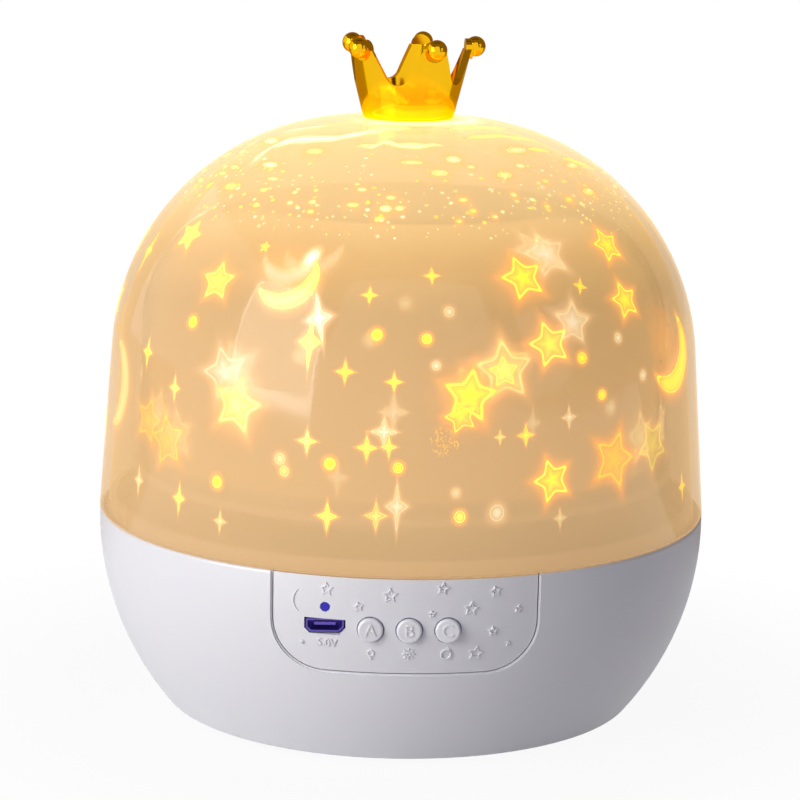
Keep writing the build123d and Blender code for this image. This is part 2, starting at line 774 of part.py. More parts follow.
with BuildPart() as battery_door:
    with BuildSketch(Plane.XY.offset(bowl_bottom)):
        with Locations((0, (hinge_y + door_free_y) / 2)):
            Rectangle(2 * door_half_width, hinge_y - door_free_y)
        with Locations((0, door_free_y - door_tab_length / 2)):
            Rectangle(2 * door_tab_half_width, door_tab_length)
    extrude(amount=door_thickness)
    with Locations(Location((0, hinge_y, hinge_level), (0, 90, 0))):
        Cylinder(door_thickness / 2, 2 * door_half_width)
        Cylinder(door_pin_radius, 2 * (door_half_width + door_pin_length))
    with Locations(Plane((0, door_screw_y, bowl_bottom), z_dir=(0, 0, -1))):
        CounterBoreHole(
            door_screw_form[2] + screw_gap, door_screw_form[0] + float_gap, door_screw_form[1]
        )
finish(battery_door, "battery_door")

with BuildPart() as door_screw:
    with Locations(Plane((0, door_screw_y, bowl_bottom + door_screw_form[1]), z_dir=(0, 0, -1))):
        add(pan_screw(*door_screw_form))
finish(door_screw, "door_screw")

# ------------------------------------------------------------------------ deck
spindle_outline = [
    (spindle_bore, deck_bottom), (deck_radius, deck_bottom), (deck_radius, deck_top),
    (spindle_shoulder, deck_top), (spindle_shoulder, shoulder_level),
    (spindle_radius, shoulder_level), (spindle_radius, lamp_level), (spindle_bore, lamp_level),
]
clip_root = spindle_radius - clip_groove
groove_top = clip_bottom + clip_thickness + float_gap
clip_slot = ring_section(clip_root, spindle_radius, clip_bottom, groove_top)
with BuildPart() as deck_plate:
    with BuildSketch(Plane.XZ):
        with BuildLine():
            Polyline(*spindle_outline, close=True)
        make_face()
    revolve(axis=Axis.Z)
    revolve(clip_slot, axis=Axis.Z, mode=Mode.SUBTRACT)
    with Locations((idler_x, idler_y, deck_top + idler_seat)):
        Cylinder(idler_boss_radius, idler_seat + deck_thickness + idler_boss_depth, align=HANG)
        Hole(idler_pin_radius + screw_gap)
    with Locations((motor_x, motor_y, deck_top)):
        Hole(motor_nose_radius + part_gap)
        with PolarLocations(motor_screw_reach, 2):
            CounterSinkHole(
                motor_screw[1] + screw_gap, motor_screw[0] + screw_gap, counter_sink_angle=90
            )
    with Locations((0, 0, deck_top)), PolarLocations(*deck_corners):
        CounterSinkHole(deck_screw[1] + screw_gap, deck_screw[0] + screw_gap, counter_sink_angle=90)
    with Locations((0, 0, lamp_level)), PolarLocations(lamp_screw_circle, lamp_screw_count):
        Cylinder(lamp_screw[2] + screw_gap, lamp_screw[3], align=HANG, mode=Mode.SUBTRACT)
finish(deck_plate, "deck_plate")

with BuildPart() as deck_screws:
    with Locations((0, 0, deck_top)), PolarLocations(*deck_corners):
        add(flat_screw(*deck_screw))
finish(deck_screws, "deck_screws")

# ------------------------------------------------------------- motor and gears
with BuildPart() as drive_motor:
    with Locations((motor_x, motor_y, deck_bottom)):
        Cylinder(motor_radius, motor_height, align=HANG)
        fillet(drive_motor.edges().filter_by(GeomType.CIRCLE), motor_round)
        Cylinder(motor_nose_radius, deck_thickness - part_gap, align=STAND)
    with Locations((motor_x, motor_y, deck_bottom - motor_height)):
        Cylinder(motor_cap_radius, motor_cap_height, align=HANG)
        with PolarLocations(motor_tab_reach, 2, 90):
            Box(*motor_tab, rotation=(0, 0, 90), align=HANG)
    with Locations((motor_x, motor_y, deck_top)):
        Cylinder(
            shaft_radius + running_gap, deck_thickness + shaft_depth + float_gap,
            align=HANG, mode=Mode.SUBTRACT,
        )
        with Locations((0, 0, -deck_thickness)), PolarLocations(motor_screw_reach, 2):
            Cylinder(
                motor_screw[1] + screw_gap, motor_screw[2] - deck_thickness + float_gap,
                align=HANG, mode=Mode.SUBTRACT,
            )
finish(drive_motor, "drive_motor")

with BuildPart() as motor_screws:
    with Locations((motor_x, motor_y, deck_top)), PolarLocations(motor_screw_reach, 2):
        add(flat_screw(*motor_screw))
finish(motor_screws, "motor_screws")

shaft_length = motor_pinion_bottom + motor_pinion_length + float_gap - deck_bottom + shaft_depth
with BuildPart() as motor_shaft:
    with Locations((motor_x, motor_y, deck_bottom - shaft_depth)):
        Cylinder(shaft_radius, shaft_length, align=STAND)
finish(motor_shaft, "motor_shaft")

facing_gap = motor_direction + 180 + 180 / pinion_teeth  # a tooth gap faces the idler
with BuildPart() as motor_pinion:
    with Locations((motor_x, motor_y, motor_pinion_bottom)):
        add(gear(pinion_teeth, facing_gap, motor_pinion_length))
        Hole(shaft_radius + screw_gap)
finish(motor_pinion, "motor_pinion")

with BuildPart() as idler_gear:
    with Locations((idler_x, idler_y, wheel_bottom)):
        add(gear(wheel_teeth, motor_direction, wheel_thickness))
    with Locations((idler_x, idler_y, wheel_top)):
        add(gear(pinion_teeth, idler_direction, idler_pinion_length))
    with Locations((idler_x, idler_y, idler_top)):
        Hole(idler_pin_radius + running_gap)
finish(idler_gear, "idler_gear")

pin_foot = deck_bottom - idler_boss_depth
with BuildPart() as idler_pin:
    with Locations((idler_x, idler_y, pin_foot)):
        Cylinder(idler_pin_radius, idler_top + float_gap - pin_foot, align=STAND)
    with Locations((idler_x, idler_y, idler_top + float_gap)):
        Cylinder(pin_head_radius, pin_head_height, align=STAND)
finish(idler_pin, "idler_pin")

# ------------------------------------------------------------------- turntable
hub_bore = spindle_radius + running_gap
ring_outer = ring_pitch_radius + gear_module * gear_dedendum + ring_wall
cup_ring = ring_section(cup_ring_radius - cup_ring_wall, cup_ring_radius, plate_top, film_bottom)
with BuildPart() as turntable:
    revolve(ring_section(hub_bore, plate_radius, plate_bottom, plate_top), axis=Axis.Z)
    revolve(ring_section(hub_bore, hub_bore + hub_wall, shoulder_level + float_gap, hub_top), axis=Axis.Z)
    revolve(cup_ring, axis=Axis.Z)
    with BuildSketch(Plane.XY.offset(ring_bottom)):
        Circle(ring_outer)
        add(
            gear_face(ring_teeth, idler_direction, gear_dedendum, gear_addendum, -backlash / 2),
            mode=Mode.SUBTRACT,
        )
    extrude(amount=plate_bottom - ring_bottom)
    with Locations((0, 0, plate_bottom)), PolarLocations(ring_outer - part_gap, rib_count):
        Box(plate_radius - ring_outer - ring_wall, rib_thickness, rib_height, align=HANG_OUT)
finish(turntable, "turntable")

with BuildPart() as turntable_clip:
    with BuildSketch(Plane.XY.offset(clip_bottom + float_gap / 2)):
        Circle(spindle_radius + clip_reach)
        Circle(clip_root + screw_gap, mode=Mode.SUBTRACT)
        with Locations((0, -spindle_radius)):
            Rectangle(clip_mouth, 2 * spindle_radius, mode=Mode.SUBTRACT)
    extrude(amount=clip_thickness)
finish(turntable_clip, "turntable_clip")

with BuildPart() as projection_cup:
    revolve(bell_section(*cup_form, 0), axis=Axis.Z)
    revolve(bell_section(*cup_form, cup_wall), axis=Axis.Z, mode=Mode.SUBTRACT)
finish(projection_cup, "projection_cup")

film_inset = cup_wall + film_gap
with BuildPart() as star_film:
    revolve(bell_section(*cup_form, film_inset), axis=Axis.Z)
    revolve(bell_section(*cup_form, film_inset + film_thickness), axis=Axis.Z, mode=Mode.SUBTRACT)
    revolve(ring_section(0, cup_rim_radius, plate_top, film_bottom), axis=Axis.Z, mode=Mode.SUBTRACT)
finish(star_film, "star_film")

# ------------------------------------------------------------------- lamp post
lamp_top = lamp_level + lamp_board_thickness
with BuildPart() as led_board:
    with Locations((0, 0, lamp_level)):
        Cylinder(lamp_board_radius, lamp_board_thickness, align=STAND)
    with Locations((0, 0, lamp_top)), PolarLocations(lamp_screw_circle, lamp_screw_count):
        Hole(lamp_screw[2] + screw_gap)
finish(led_board, "led_board")

with BuildPart() as warm_led:
    with Locations((0, 0, lamp_top)):
        Cylinder(warm_base_radius, warm_base_height, align=STAND)
    with Locations((0, 0, lamp_top + warm_base_height)):
        Sphere(warm_lens_radius, arc_size1=0, align=STAND)
finish(warm_led, "warm_led")

colour_led_ring = (colour_led_circle, colour_led_count, 180 / colour_led_count)
with BuildPart() as colour_leds:
    with Locations((0, 0, lamp_top)), PolarLocations(*colour_led_ring):
        Cylinder(colour_led_radius, colour_led_height, align=STAND)
        with Locations((0, 0, colour_led_height)):
            Sphere(colour_led_radius, arc_size1=0, align=STAND)
finish(colour_leds, "colour_leds")

with BuildPart() as led_screws:
    with Locations((0, 0, lamp_top)), PolarLocations(lamp_screw_circle, lamp_screw_count):
        add(pan_screw(*lamp_screw))
finish(led_screws, "led_screws")

# ----------------------------------------------------------------------- leads
# Three leads leave the header on the board: to the lamps, the batteries and the motor.
battery_end_x, lamp_lead_x, motor_lead_x = [header_x + step * lead_pitch for step in (-1, 0, 1)]
tab_y = motor_y - motor_tab_reach - motor_tab[1] / 2
tab_level = deck_bottom - motor_height - motor_tab[2] / 2

with BuildPart() as lamp_lead:
    add(lead([
        (lamp_lead_x, header_back, header_level), (lamp_lead_x, -35, header_level),
        (3, -20, 27), (0, 0, 26), (0, 0, lamp_level),
    ]))
finish(lamp_lead, "lamp_lead")

with BuildPart() as motor_lead:
    add(lead([
        (motor_lead_x, header_back, header_level), (motor_lead_x, -36, header_level),
        (14, -22, 28), (motor_x, -6, tab_level), (motor_x, tab_y, tab_level),
    ]))
finish(motor_lead, "motor_lead")

with BuildPart() as battery_lead:
    add(lead([
        (battery_lead_x, -bay_half_length, battery_lead_level),
        (battery_lead_x, -38, battery_lead_level), (-3, -42, 22),
        (battery_end_x, -38, header_level), (battery_end_x, header_back, header_level),
    ]))
finish(battery_lead, "battery_lead")

# ------------------------------------------------------------------------ dome
with BuildPart() as dome_cover:
    revolve(bell_section(*dome_form, 0), axis=Axis.Z)
    fillet(dome_cover.edges().group_by(Axis.Z)[0], dome_lip_round)
    revolve(bell_section(*dome_form, dome_wall), axis=Axis.Z, mode=Mode.SUBTRACT)
    with Locations((0, 0, land_level)):
        Hole(crown_boss_radius + part_gap)
finish(dome_cover, "dome_cover")

# ----------------------------------------------------------------------- crown
def crown_side(rise):
    """Point of the crown's flaring outer side at a height above the land."""
    return (crown_base_radius + crown_slope * rise, land_level + rise)


crown_rim = crown_side(crown_ball_level - crown_tip_drop)
crown_foot = crown_side(crown_floor)
crown_outline = [
    (0, land_level), crown_side(0), crown_rim, (crown_rim[0] - crown_wall, crown_rim[1]),
    (crown_foot[0] - crown_wall, crown_foot[1]), (0, crown_foot[1]),
]
valley_slant = radians(crown_valley_angle)
valley_low = land_level + crown_valley_level
valley_turn_level = valley_low + crown_valley_radius * (1 - sin(valley_slant))
valley_top = crown_rim[1] + 2 * crown_ball_radius
valley_side = crown_valley_radius * cos(valley_slant)
valley_mouth = valley_side + (valley_top - valley_turn_level) * tan(valley_slant)

with BuildPart() as crown:
    with BuildSketch(Plane.XZ):
        with BuildLine():
            Polyline(*crown_outline, close=True)
        make_face()
    revolve(axis=Axis.Z)
    fillet(crown.edges().group_by(Axis.Z)[0], crown_foot_round)
    for point in range(crown_points):
        valley_turn = crown_first + 360 / crown_points * (point + 0.5)
        with BuildSketch(Plane.XZ.rotated((0, 0, valley_turn))):
            with BuildLine():
                left, right = (-valley_side, valley_turn_level), (valley_side, valley_turn_level)
                ThreePointArc(left, (0, valley_low), right)
                Polyline(right, (valley_mouth, valley_top), (-valley_mouth, valley_top), left)
            make_face()
        extrude(amount=2 * crown_tip_radius, mode=Mode.SUBTRACT)
    for point in range(crown_points):
        tip_turn = crown_first + 360 / crown_points * point
        tip = Plane.XZ.rotated((0, 0, tip_turn)).offset(crown_tip_radius)
        with Locations(tip.location * Pos(0, crown_rim[1], 0)):
            Cylinder(crown_ball_radius, crown_wall, align=HANG)
        with Locations(tip.location * Pos(0, crown_rim[1] + crown_tip_drop, crown_ball_proud)):
            Sphere(crown_ball_radius)
    with Locations((0, 0, land_level)):
        Cylinder(crown_boss_radius, crown_boss_height, align=STAND)
        Cylinder(crown_boss_radius, crown_spigot, align=HANG)
    with Locations((0, 0, land_level - crown_spigot)):
        Cylinder(
            crown_screw_form[2] + screw_gap, crown_screw_form[3] + crown_spigot - dome_wall + float_gap,
            align=STAND, mode=Mode.SUBTRACT,
        )
finish(crown, "crown")

with BuildPart() as crown_screw:
    with Locations(Plane((0, 0, land_level - dome_wall), z_dir=(0, 0, -1))):
        add(pan_screw(*crown_screw_form))
finish(crown_screw, "crown_screw")
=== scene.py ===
# %% [markdown]
# # A star night light
# A white bowl with three push buttons carries a translucent amber dome with a gold crown. Stars,
# moons and sparkles of light lie on the dome, thrown there by a film that turns inside it.
# The solid model is loaded first and stays as it is: every piece made below rides on one of its
# moving bodies, so that the dome still lifts off and the buttons still press.

# %% Load the solid model
import json
import math
import random

import bmesh
import bpy
from mathutils import Matrix, Vector
from mathutils.bvhtree import BVHTree


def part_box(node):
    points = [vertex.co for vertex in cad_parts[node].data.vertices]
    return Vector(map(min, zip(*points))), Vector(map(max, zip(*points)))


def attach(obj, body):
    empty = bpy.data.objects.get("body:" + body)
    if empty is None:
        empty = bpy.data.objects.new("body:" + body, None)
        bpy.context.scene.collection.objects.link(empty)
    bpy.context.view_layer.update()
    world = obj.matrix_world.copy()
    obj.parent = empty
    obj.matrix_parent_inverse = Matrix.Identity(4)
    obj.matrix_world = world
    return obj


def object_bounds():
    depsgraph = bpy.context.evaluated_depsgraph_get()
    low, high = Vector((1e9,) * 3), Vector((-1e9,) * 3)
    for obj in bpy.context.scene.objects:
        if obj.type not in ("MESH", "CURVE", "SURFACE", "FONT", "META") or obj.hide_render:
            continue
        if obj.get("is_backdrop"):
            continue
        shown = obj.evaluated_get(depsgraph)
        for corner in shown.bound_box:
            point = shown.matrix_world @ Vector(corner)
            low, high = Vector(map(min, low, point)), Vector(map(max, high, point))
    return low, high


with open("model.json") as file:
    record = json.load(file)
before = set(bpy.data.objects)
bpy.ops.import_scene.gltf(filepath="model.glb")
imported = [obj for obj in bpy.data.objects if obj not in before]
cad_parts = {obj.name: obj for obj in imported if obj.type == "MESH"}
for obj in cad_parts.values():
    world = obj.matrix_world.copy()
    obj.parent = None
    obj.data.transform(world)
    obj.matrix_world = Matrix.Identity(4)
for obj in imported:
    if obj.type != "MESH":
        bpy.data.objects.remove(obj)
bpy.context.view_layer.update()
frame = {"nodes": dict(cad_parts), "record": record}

nodes = frame["nodes"]
MM = 0.001


def put(name, data):
    """A new object in the scene, at the origin."""
    piece = bpy.data.objects.new(name, data)
    bpy.context.scene.collection.objects.link(piece)
    return piece


# %% [markdown]
# ## Short words for node trees
# Every material below is a small tree of nodes. The functions here add a node and wire it in one
# line, so that a tree reads like a formula: an input is either a socket of another node, which is
# linked, or a plain value.

# %% Node helpers
def feed(node, into):
    """Give a node its inputs, by name or number. A colour may leave out its alpha."""
    for key, source in into.items():
        socket = node.inputs[key]
        if isinstance(source, bpy.types.NodeSocket):
            node.id_data.links.new(source, socket)
        elif socket.type == "RGBA" and len(source) == 3:
            socket.default_value = (*source, 1)
        else:
            socket.default_value = source
    return node


def add_node(tree, kind, into=None, **settings):
    """Add a node, set its properties and feed it."""
    node = tree.nodes.new(kind)
    for name, value in settings.items():
        setattr(node, name, value)
    return feed(node, into or {})


def maths(tree, operation, *inputs, **settings):
    settings["operation"] = operation
    return add_node(tree, "ShaderNodeMath", dict(enumerate(inputs)), **settings).outputs[0]


def remap(tree, value, low, high, first=0.0, last=1.0, **settings):
    """Carry a value from the range low to high over to the range first to last."""
    into = {"Value": value, "From Min": low, "From Max": high, "To Min": first, "To Max": last}
    return add_node(tree, "ShaderNodeMapRange", into, **settings).outputs["Result"]


def blend(tree, share, first, second):
    """Mix two colours."""
    into = {0: share, 6: first, 7: second}
    return add_node(tree, "ShaderNodeMix", into, data_type="RGBA").outputs[2]


def noise(tree, where, scale, detail):
    into = {"Vector": where, "Scale": scale, "Detail": detail}
    return add_node(tree, "ShaderNodeTexNoise", into).outputs["Fac"]


def object_place(tree):
    return add_node(tree, "ShaderNodeTexCoord").outputs["Object"]


def axis_of(tree, where, axis):
    return add_node(tree, "ShaderNodeSeparateXYZ", {0: where}).outputs[axis]


def ramp_of(tree, share, stops):
    """A colour ramp; its stops are (place, colour) in rising order."""
    ramp = add_node(tree, "ShaderNodeValToRGB", {"Fac": share})
    points = ramp.color_ramp.elements
    for place, _ in stops[1:-1]:
        points.new(place)
    for point, (place, colour) in zip(points, stops):
        point.position = place
        point.color = (*colour, 1)
    return ramp.outputs["Color"]


def new_material(name, into=None):
    """A material and its Principled shader, with the given inputs."""
    material = bpy.data.materials.new(name)
    material.use_nodes = True
    return material, feed(material.node_tree.nodes["Principled BSDF"], into or {})


def new_group(name, tree_kind, into, out):
    """A node group. An output has a kind, an input has a kind or its first value. The group comes
    with the sockets of its input node and with its output node."""
    group = bpy.data.node_groups.new(name, tree_kind)
    for label, value in into.items():
        kind = value if isinstance(value, str) else "Color" if isinstance(value, tuple) else "Float"
        socket = group.interface.new_socket(
            label, in_out="INPUT", socket_type="NodeSocket" + kind)
        if kind != value:
            socket.default_value = value
    for label, kind in out.items():
        group.interface.new_socket(label, in_out="OUTPUT", socket_type="NodeSocket" + kind)
    return group, add_node(group, "NodeGroupInput").outputs, add_node(group, "NodeGroupOutput")


# %% [markdown]
# ## Camera
# The camera is part of the setting, not of the lamp. A long lens from 600 mm away keeps the bowl's
# rim nearly flat, and 11.6 degrees of height show a little of the dome's top. The camera is
# rolled by one degree, so that the lamp leans very slightly to the right.

# %% Camera
camera_target = Vector((0, 0, 62.6)) * MM
camera_distance = 600 * MM
camera_height = math.radians(11.565)
camera_side = math.radians(-1.2)
camera_roll = math.radians(1.06)
camera_back = Vector((
    math.sin(camera_side) * math.cos(camera_height),
    -math.cos(camera_side) * math.cos(camera_height),
    math.sin(camera_height),
))
camera = put("camera", bpy.data.cameras.new("camera"))
camera.location = camera_target + camera_distance * camera_back
camera.rotation_mode = "QUATERNION"
upright = (-camera_back).to_track_quat("-Z", "Y")
camera.rotation_quaternion = upright @ Matrix.Rotation(camera_roll, 3, "Z").to_quaternion()
camera.data.sensor_width = 36
camera.data.lens = 125.08
camera.data.shift_x = -0.0033
camera.data.shift_y = 0.0148
camera.data.clip_start, camera.data.clip_end = 0.05, 20
bpy.context.scene.camera = camera
print("camera", [round(v, 4) for v in camera.location], "lens", camera.data.lens)

# %% [markdown]
# ## Light, floor and background
# One large soft lamp on the left models the bowl from light to lavender grey, a weak one opens the
# shade on the right, and one overhead lifts the dome's top. Gloss doesn't show the first and the
# last, because cards stand in for them there. The floor and the world show white to the camera and
# in reflections only, so they whiten the picture without lighting the lamp.

# %% Softboxes
def softbox(name, place, aim, width, height, power, colour):
    """A rectangular lamp at a place, turned towards a point; all in millimetres."""
    data = bpy.data.lights.new(name, "AREA")
    data.shape = "RECTANGLE"
    data.size, data.size_y = width * MM, height * MM
    data.energy = power
    data.color = colour
    lamp = put(name, data)
    lamp.location = Vector(place) * MM
    lamp.rotation_euler = (Vector(aim) * MM - lamp.location).to_track_quat("-Z", "Y").to_euler()
    return lamp


key = softbox("key_softbox", (-500, -415, 274), (0, 0, 60), 410, 504, 3.45, (1.0, 0.99, 0.98))
softbox("fill_softbox", (600, -380, 260), (0, 0, 60), 300, 400, 0.3, (0.93, 0.92, 1.0))
top = softbox("top_softbox", (60, 120, 760), (0, 0, 120), 380, 300, 0.8, (1.0, 0.98, 0.95))
for lamp in (key, top):
    lamp.visible_glossy = False

# %% [markdown]
# Gloss shows what stands around the lamp, so the studio needs things to reflect. Two pale cards
# stand just before the large softbox, one as its cloth and a brighter one as its rim. Three dark
# flags draw the brown lines in the gold. Tan cards overhead, behind, on the right and on the table
# keep the dome's edges from fading into white. Cards are seen in reflections only.

# %% Cards for reflections
SQUARE = ((-1, -1), (1, -1), (1, 1), (-1, 1))


def card(name, corners, colour, strength):
    """A plane of one plain glow that only glossy surfaces see; corners in millimetres."""
    mesh = bpy.data.meshes.new(name)
    mesh.from_pydata([Vector(c) * MM for c in corners], [], [tuple(range(len(corners)))])
    mesh.materials.append(new_material(name, {
        "Base Color": (0, 0, 0), "Roughness": 1, "Specular IOR Level": 0,
        "Emission Color": colour, "Emission Strength": strength,
    })[0])
    plane = put(name, mesh)
    for ray in ("camera", "diffuse", "transmission", "shadow", "volume_scatter"):
        setattr(plane, "visible_" + ray, False)
    plane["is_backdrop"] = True


def facing_card(name, place, aim, width, height, colour, strength):
    """A rectangular card at a place, turned towards a point."""
    turn = (Vector(aim) - Vector(place)).to_track_quat("-Z", "Y")
    corners = [
        Vector(place) + turn @ Vector((x * width / 2, y * height / 2, 0)) for x, y in SQUARE
    ]
    card(name, corners, colour, strength)


cloth_white = (1.0, 0.97, 0.92)
facing_card("softbox_cloth", (-496, -412, 272), (0, 0, 60), 396, 490, cloth_white, 3.8)
facing_card("softbox_rim", (-500, -415, 274), (0, 0, 60), 412, 506, cloth_white, 14.0)
umber = (0.06, 0.03, 0.01)
facing_card("flag_left", (-210, -330, 420), (0, 0, 130), 60, 420, umber, 1.0)
facing_card("flag_right", (260, -330, 330), (0, 0, 130), 80, 420, umber, 1.0)
facing_card("flag_top", (0, 40, 520), (0, 0, 130), 340, 90, umber, 1.0)
tan = (0.50, 0.38, 0.26)
far, tall = 1500, 900
for name, strength, corners in (
    ("tan_ceiling", 0.45, [
        (-900, -700, tall), (900, -700, tall), (900, far, tall), (-900, far, tall),
    ]),
    ("tan_right", 0.45, [(680, -900, 20), (620, far, 20), (620, far, tall), (680, -900, tall)]),
    ("tan_back", 1.0, [(-far, far, 0), (far, far, 0), (far, far, tall), (-far, far, tall)]),
    ("tan_table", 1.0, [(-far, 100, 1), (far, 100, 1), (far, far, 1), (-far, far, 1)]),
):
    card(name, corners, tan, strength)


# %% Floor and world
def white_to_eyes(tree):
    """1 for rays from the camera, from gloss and through glass; 0 for rays that light surfaces."""
    rays = add_node(tree, "ShaderNodeLightPath").outputs
    seen = maths(tree, "MAXIMUM", rays["Is Camera Ray"], rays["Is Glossy Ray"])
    return maths(tree, "MAXIMUM", seen, rays["Is Transmission Ray"])


def show_mix(tree, end, share, first, second):
    """Send a mix of two shaders to the tree's last node."""
    into = {0: share, 1: first.outputs[0], 2: second.outputs[0]}
    feed(tree.nodes[end], {"Surface": add_node(tree, "ShaderNodeMixShader", into).outputs[0]})


world = bpy.data.worlds.new("studio")
bpy.context.scene.world = world
world.use_nodes = True
tree = world.node_tree
room = feed(tree.nodes["Background"], {"Color": (0.80, 0.78, 0.90), "Strength": 0.20})
paper = add_node(tree, "ShaderNodeBackground", {"Color": (1, 1, 1), "Strength": 1})
show_mix(tree, "World Output", white_to_eyes(tree), room, paper)

floor_mesh = bpy.data.meshes.new("floor")
reach = 4.0
floor_mesh.from_pydata([(x * reach, y * reach, 0) for x, y in SQUARE], [], [(0, 1, 2, 3)])
floor = put("floor", floor_mesh)
floor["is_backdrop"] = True
floor_paint, matt = new_material("floor", {"Base Color": (0.62, 0.62, 0.64), "Roughness": 0.9})
tree = floor_paint.node_tree
away = add_node(tree, "ShaderNodeVectorMath", {0: object_place(tree)}, operation="LENGTH")
shade_end, open_floor, floor_white = 0.06, 0.15, 0.93
fade = remap(tree, away.outputs["Value"], shade_end, open_floor, floor_white, 1.0,
             interpolation_type="SMOOTHSTEP")
glow = add_node(tree, "ShaderNodeEmission", {"Color": (1, 1, 1)})
show_mix(tree, "Material Output", maths(tree, "MULTIPLY", white_to_eyes(tree), fade), matt, glow)
floor_mesh.materials.append(floor_paint)
bpy.context.scene.view_settings.view_transform = "Standard"
print("floor", 2 * reach, "m wide")

# %% [markdown]
# ## Moulded plastic, once for all
# Nearly everything on this lamp is moulded plastic. Close up it is never one flat colour: the skin
# has a fine grain from the tool, the melt leaves faint clouds, and handling leaves duller
# patches. One node group gives all three, and each material places it with its own values.

# %% Shader group for moulded skin
skin, given, made = new_group(
    "moulded_skin", "ShaderNodeTree",
    {
        "Colour": (0.8, 0.8, 0.8, 1), "Cloud Colour": (0.7, 0.7, 0.7, 1), "Cloud Amount": 0.2,
        "Roughness": 0.4, "Handling": 0.1, "Grain Size": 0.6, "Grain Height": 0.15,
    },
    {"Colour": "Color", "Roughness": "Float", "Normal": "Vector"},
)
where = object_place(skin)
clouds = maths(skin, "MULTIPLY", noise(skin, where, 38, 3), given["Cloud Amount"])
patches = maths(skin, "SUBTRACT", noise(skin, where, 85, 4), 0.5)
grain = noise(skin, where, maths(skin, "DIVIDE", 1 / MM, given["Grain Size"]), 1)
raised = add_node(skin, "ShaderNodeBump", {
    "Strength": given["Grain Height"], "Distance": 0.05 * MM, "Height": grain,
})
feed(made, {
    "Colour": blend(skin, clouds, given["Colour"], given["Cloud Colour"]),
    "Roughness": maths(skin, "MULTIPLY_ADD", patches, given["Handling"], given["Roughness"]),
    "Normal": raised.outputs["Normal"],
})
print("moulded skin:", len(skin.nodes), "nodes")


# %% Materials from the moulded skin
def dressed(name, group, values, into=None):
    """A material whose colour, roughness and, if it makes one, normal come from a group."""
    material, shader = new_material(name, into)
    made = add_node(material.node_tree, "ShaderNodeGroup", values, node_tree=group).outputs
    for output in ("Colour", "Roughness", "Normal"):
        if output in made:
            feed(shader, {output.replace("Colour", "Base Color"): made[output]})
    return material, shader


paints = {}
slot_of = {"satin_white": "shell_white", "inner_white": "deck_white", "motor_can": "motor_metal"}
more = {"satin_white": {"IOR": 1.49}, "board_green": {"Coat Weight": 0.4}}
for name, *values in (
    # name, colour, clouds' colour and amount, roughness, handling, grain size and height
    ("satin_white", (0.80, 0.80, 0.835), (0.76, 0.76, 0.80), 0.35, 0.42, 0.12, 0.35, 0.25),
    ("inner_white", (0.74, 0.73, 0.72), (0.66, 0.65, 0.63), 0.5, 0.5, 0.2, 0.5, 0.3),
    ("gear_nylon", (0.72, 0.69, 0.60), (0.62, 0.58, 0.48), 0.4, 0.38, 0.2, 0.3, 0.2),
    ("switch_black", (0.012, 0.012, 0.014), (0.03, 0.03, 0.03), 0.5, 0.45, 0.2, 0.2, 0.3),
    ("foot_rubber", (0.022, 0.022, 0.024), (0.06, 0.06, 0.06), 0.4, 0.75, 0.2, 0.25, 0.6),
    ("board_green", (0.008, 0.075, 0.03), (0.004, 0.045, 0.02), 0.6, 0.3, 0.1, 1.2, 0.3),
    # gap_shade is painted shade: the dark lines for the shadow in the gaps round the caps
    ("gap_shade", (0.10, 0.09, 0.22), (0.16, 0.14, 0.30), 0.5, 0.6, 0.1, 0.3, 0.1),
):
    material = dressed(name, skin, dict(enumerate(values)), more.get(name))[0]
    paints[slot_of.get(name, name)] = material
print("moulded:", sorted(paints))

# %% [markdown]
# ## Metal
# Screws, the motor's can and the contacts are plated steel. Plating is smooth but spotted by the
# steel below it, so a second group makes fine speckle in the colour and streaks in the gloss.

# %% Shader group for plated metal
plating, given, made = new_group(
    "plated_metal", "ShaderNodeTree",
    {
        "Bright": (0.6, 0.6, 0.6, 1), "Dull": (0.4, 0.4, 0.4, 1), "Speckle Size": 1.0,
        "Smoothest": 0.2, "Roughest": 0.4,
    },
    {"Colour": "Color", "Roughness": "Float"},
)
pitch = maths(plating, "DIVIDE", 1 / MM, given["Speckle Size"])
speckle = noise(plating, object_place(plating), pitch, 5)
feed(made, {
    "Colour": blend(plating, speckle, given["Bright"], given["Dull"]),
    "Roughness": remap(plating, speckle, 0, 1, given["Smoothest"], given["Roughest"]),
})

for name, *values in (
    # name, bright and dull colour, speckle size, smoothest and roughest
    ("screw_steel", (0.62, 0.61, 0.60), (0.36, 0.35, 0.34), 0.8, 0.22, 0.42),
    ("motor_can", (0.64, 0.64, 0.66), (0.45, 0.45, 0.47), 3.0, 0.18, 0.38),
    ("contact_nickel", (0.72, 0.68, 0.58), (0.5, 0.46, 0.38), 1.5, 0.2, 0.35),
    ("socket_steel", (0.16, 0.12, 0.48), (0.09, 0.06, 0.34), 0.7, 0.25, 0.4),
):
    material = dressed(name, plating, dict(enumerate(values)), {"Metallic": 1.0})[0]
    paints[slot_of.get(name, name)] = material
print("with the plated:", len(paints), "materials")

# %% [markdown]
# ## The gold crown
# The crown is moulded and then metallised in vacuum, so it is a mirror with a warm yellow cast, not
# solid gold. The lamp below lights its foot from inside the dome, where the yellow is at its
# strongest. That glow depends on height only, so it is painted from the Object coordinate.

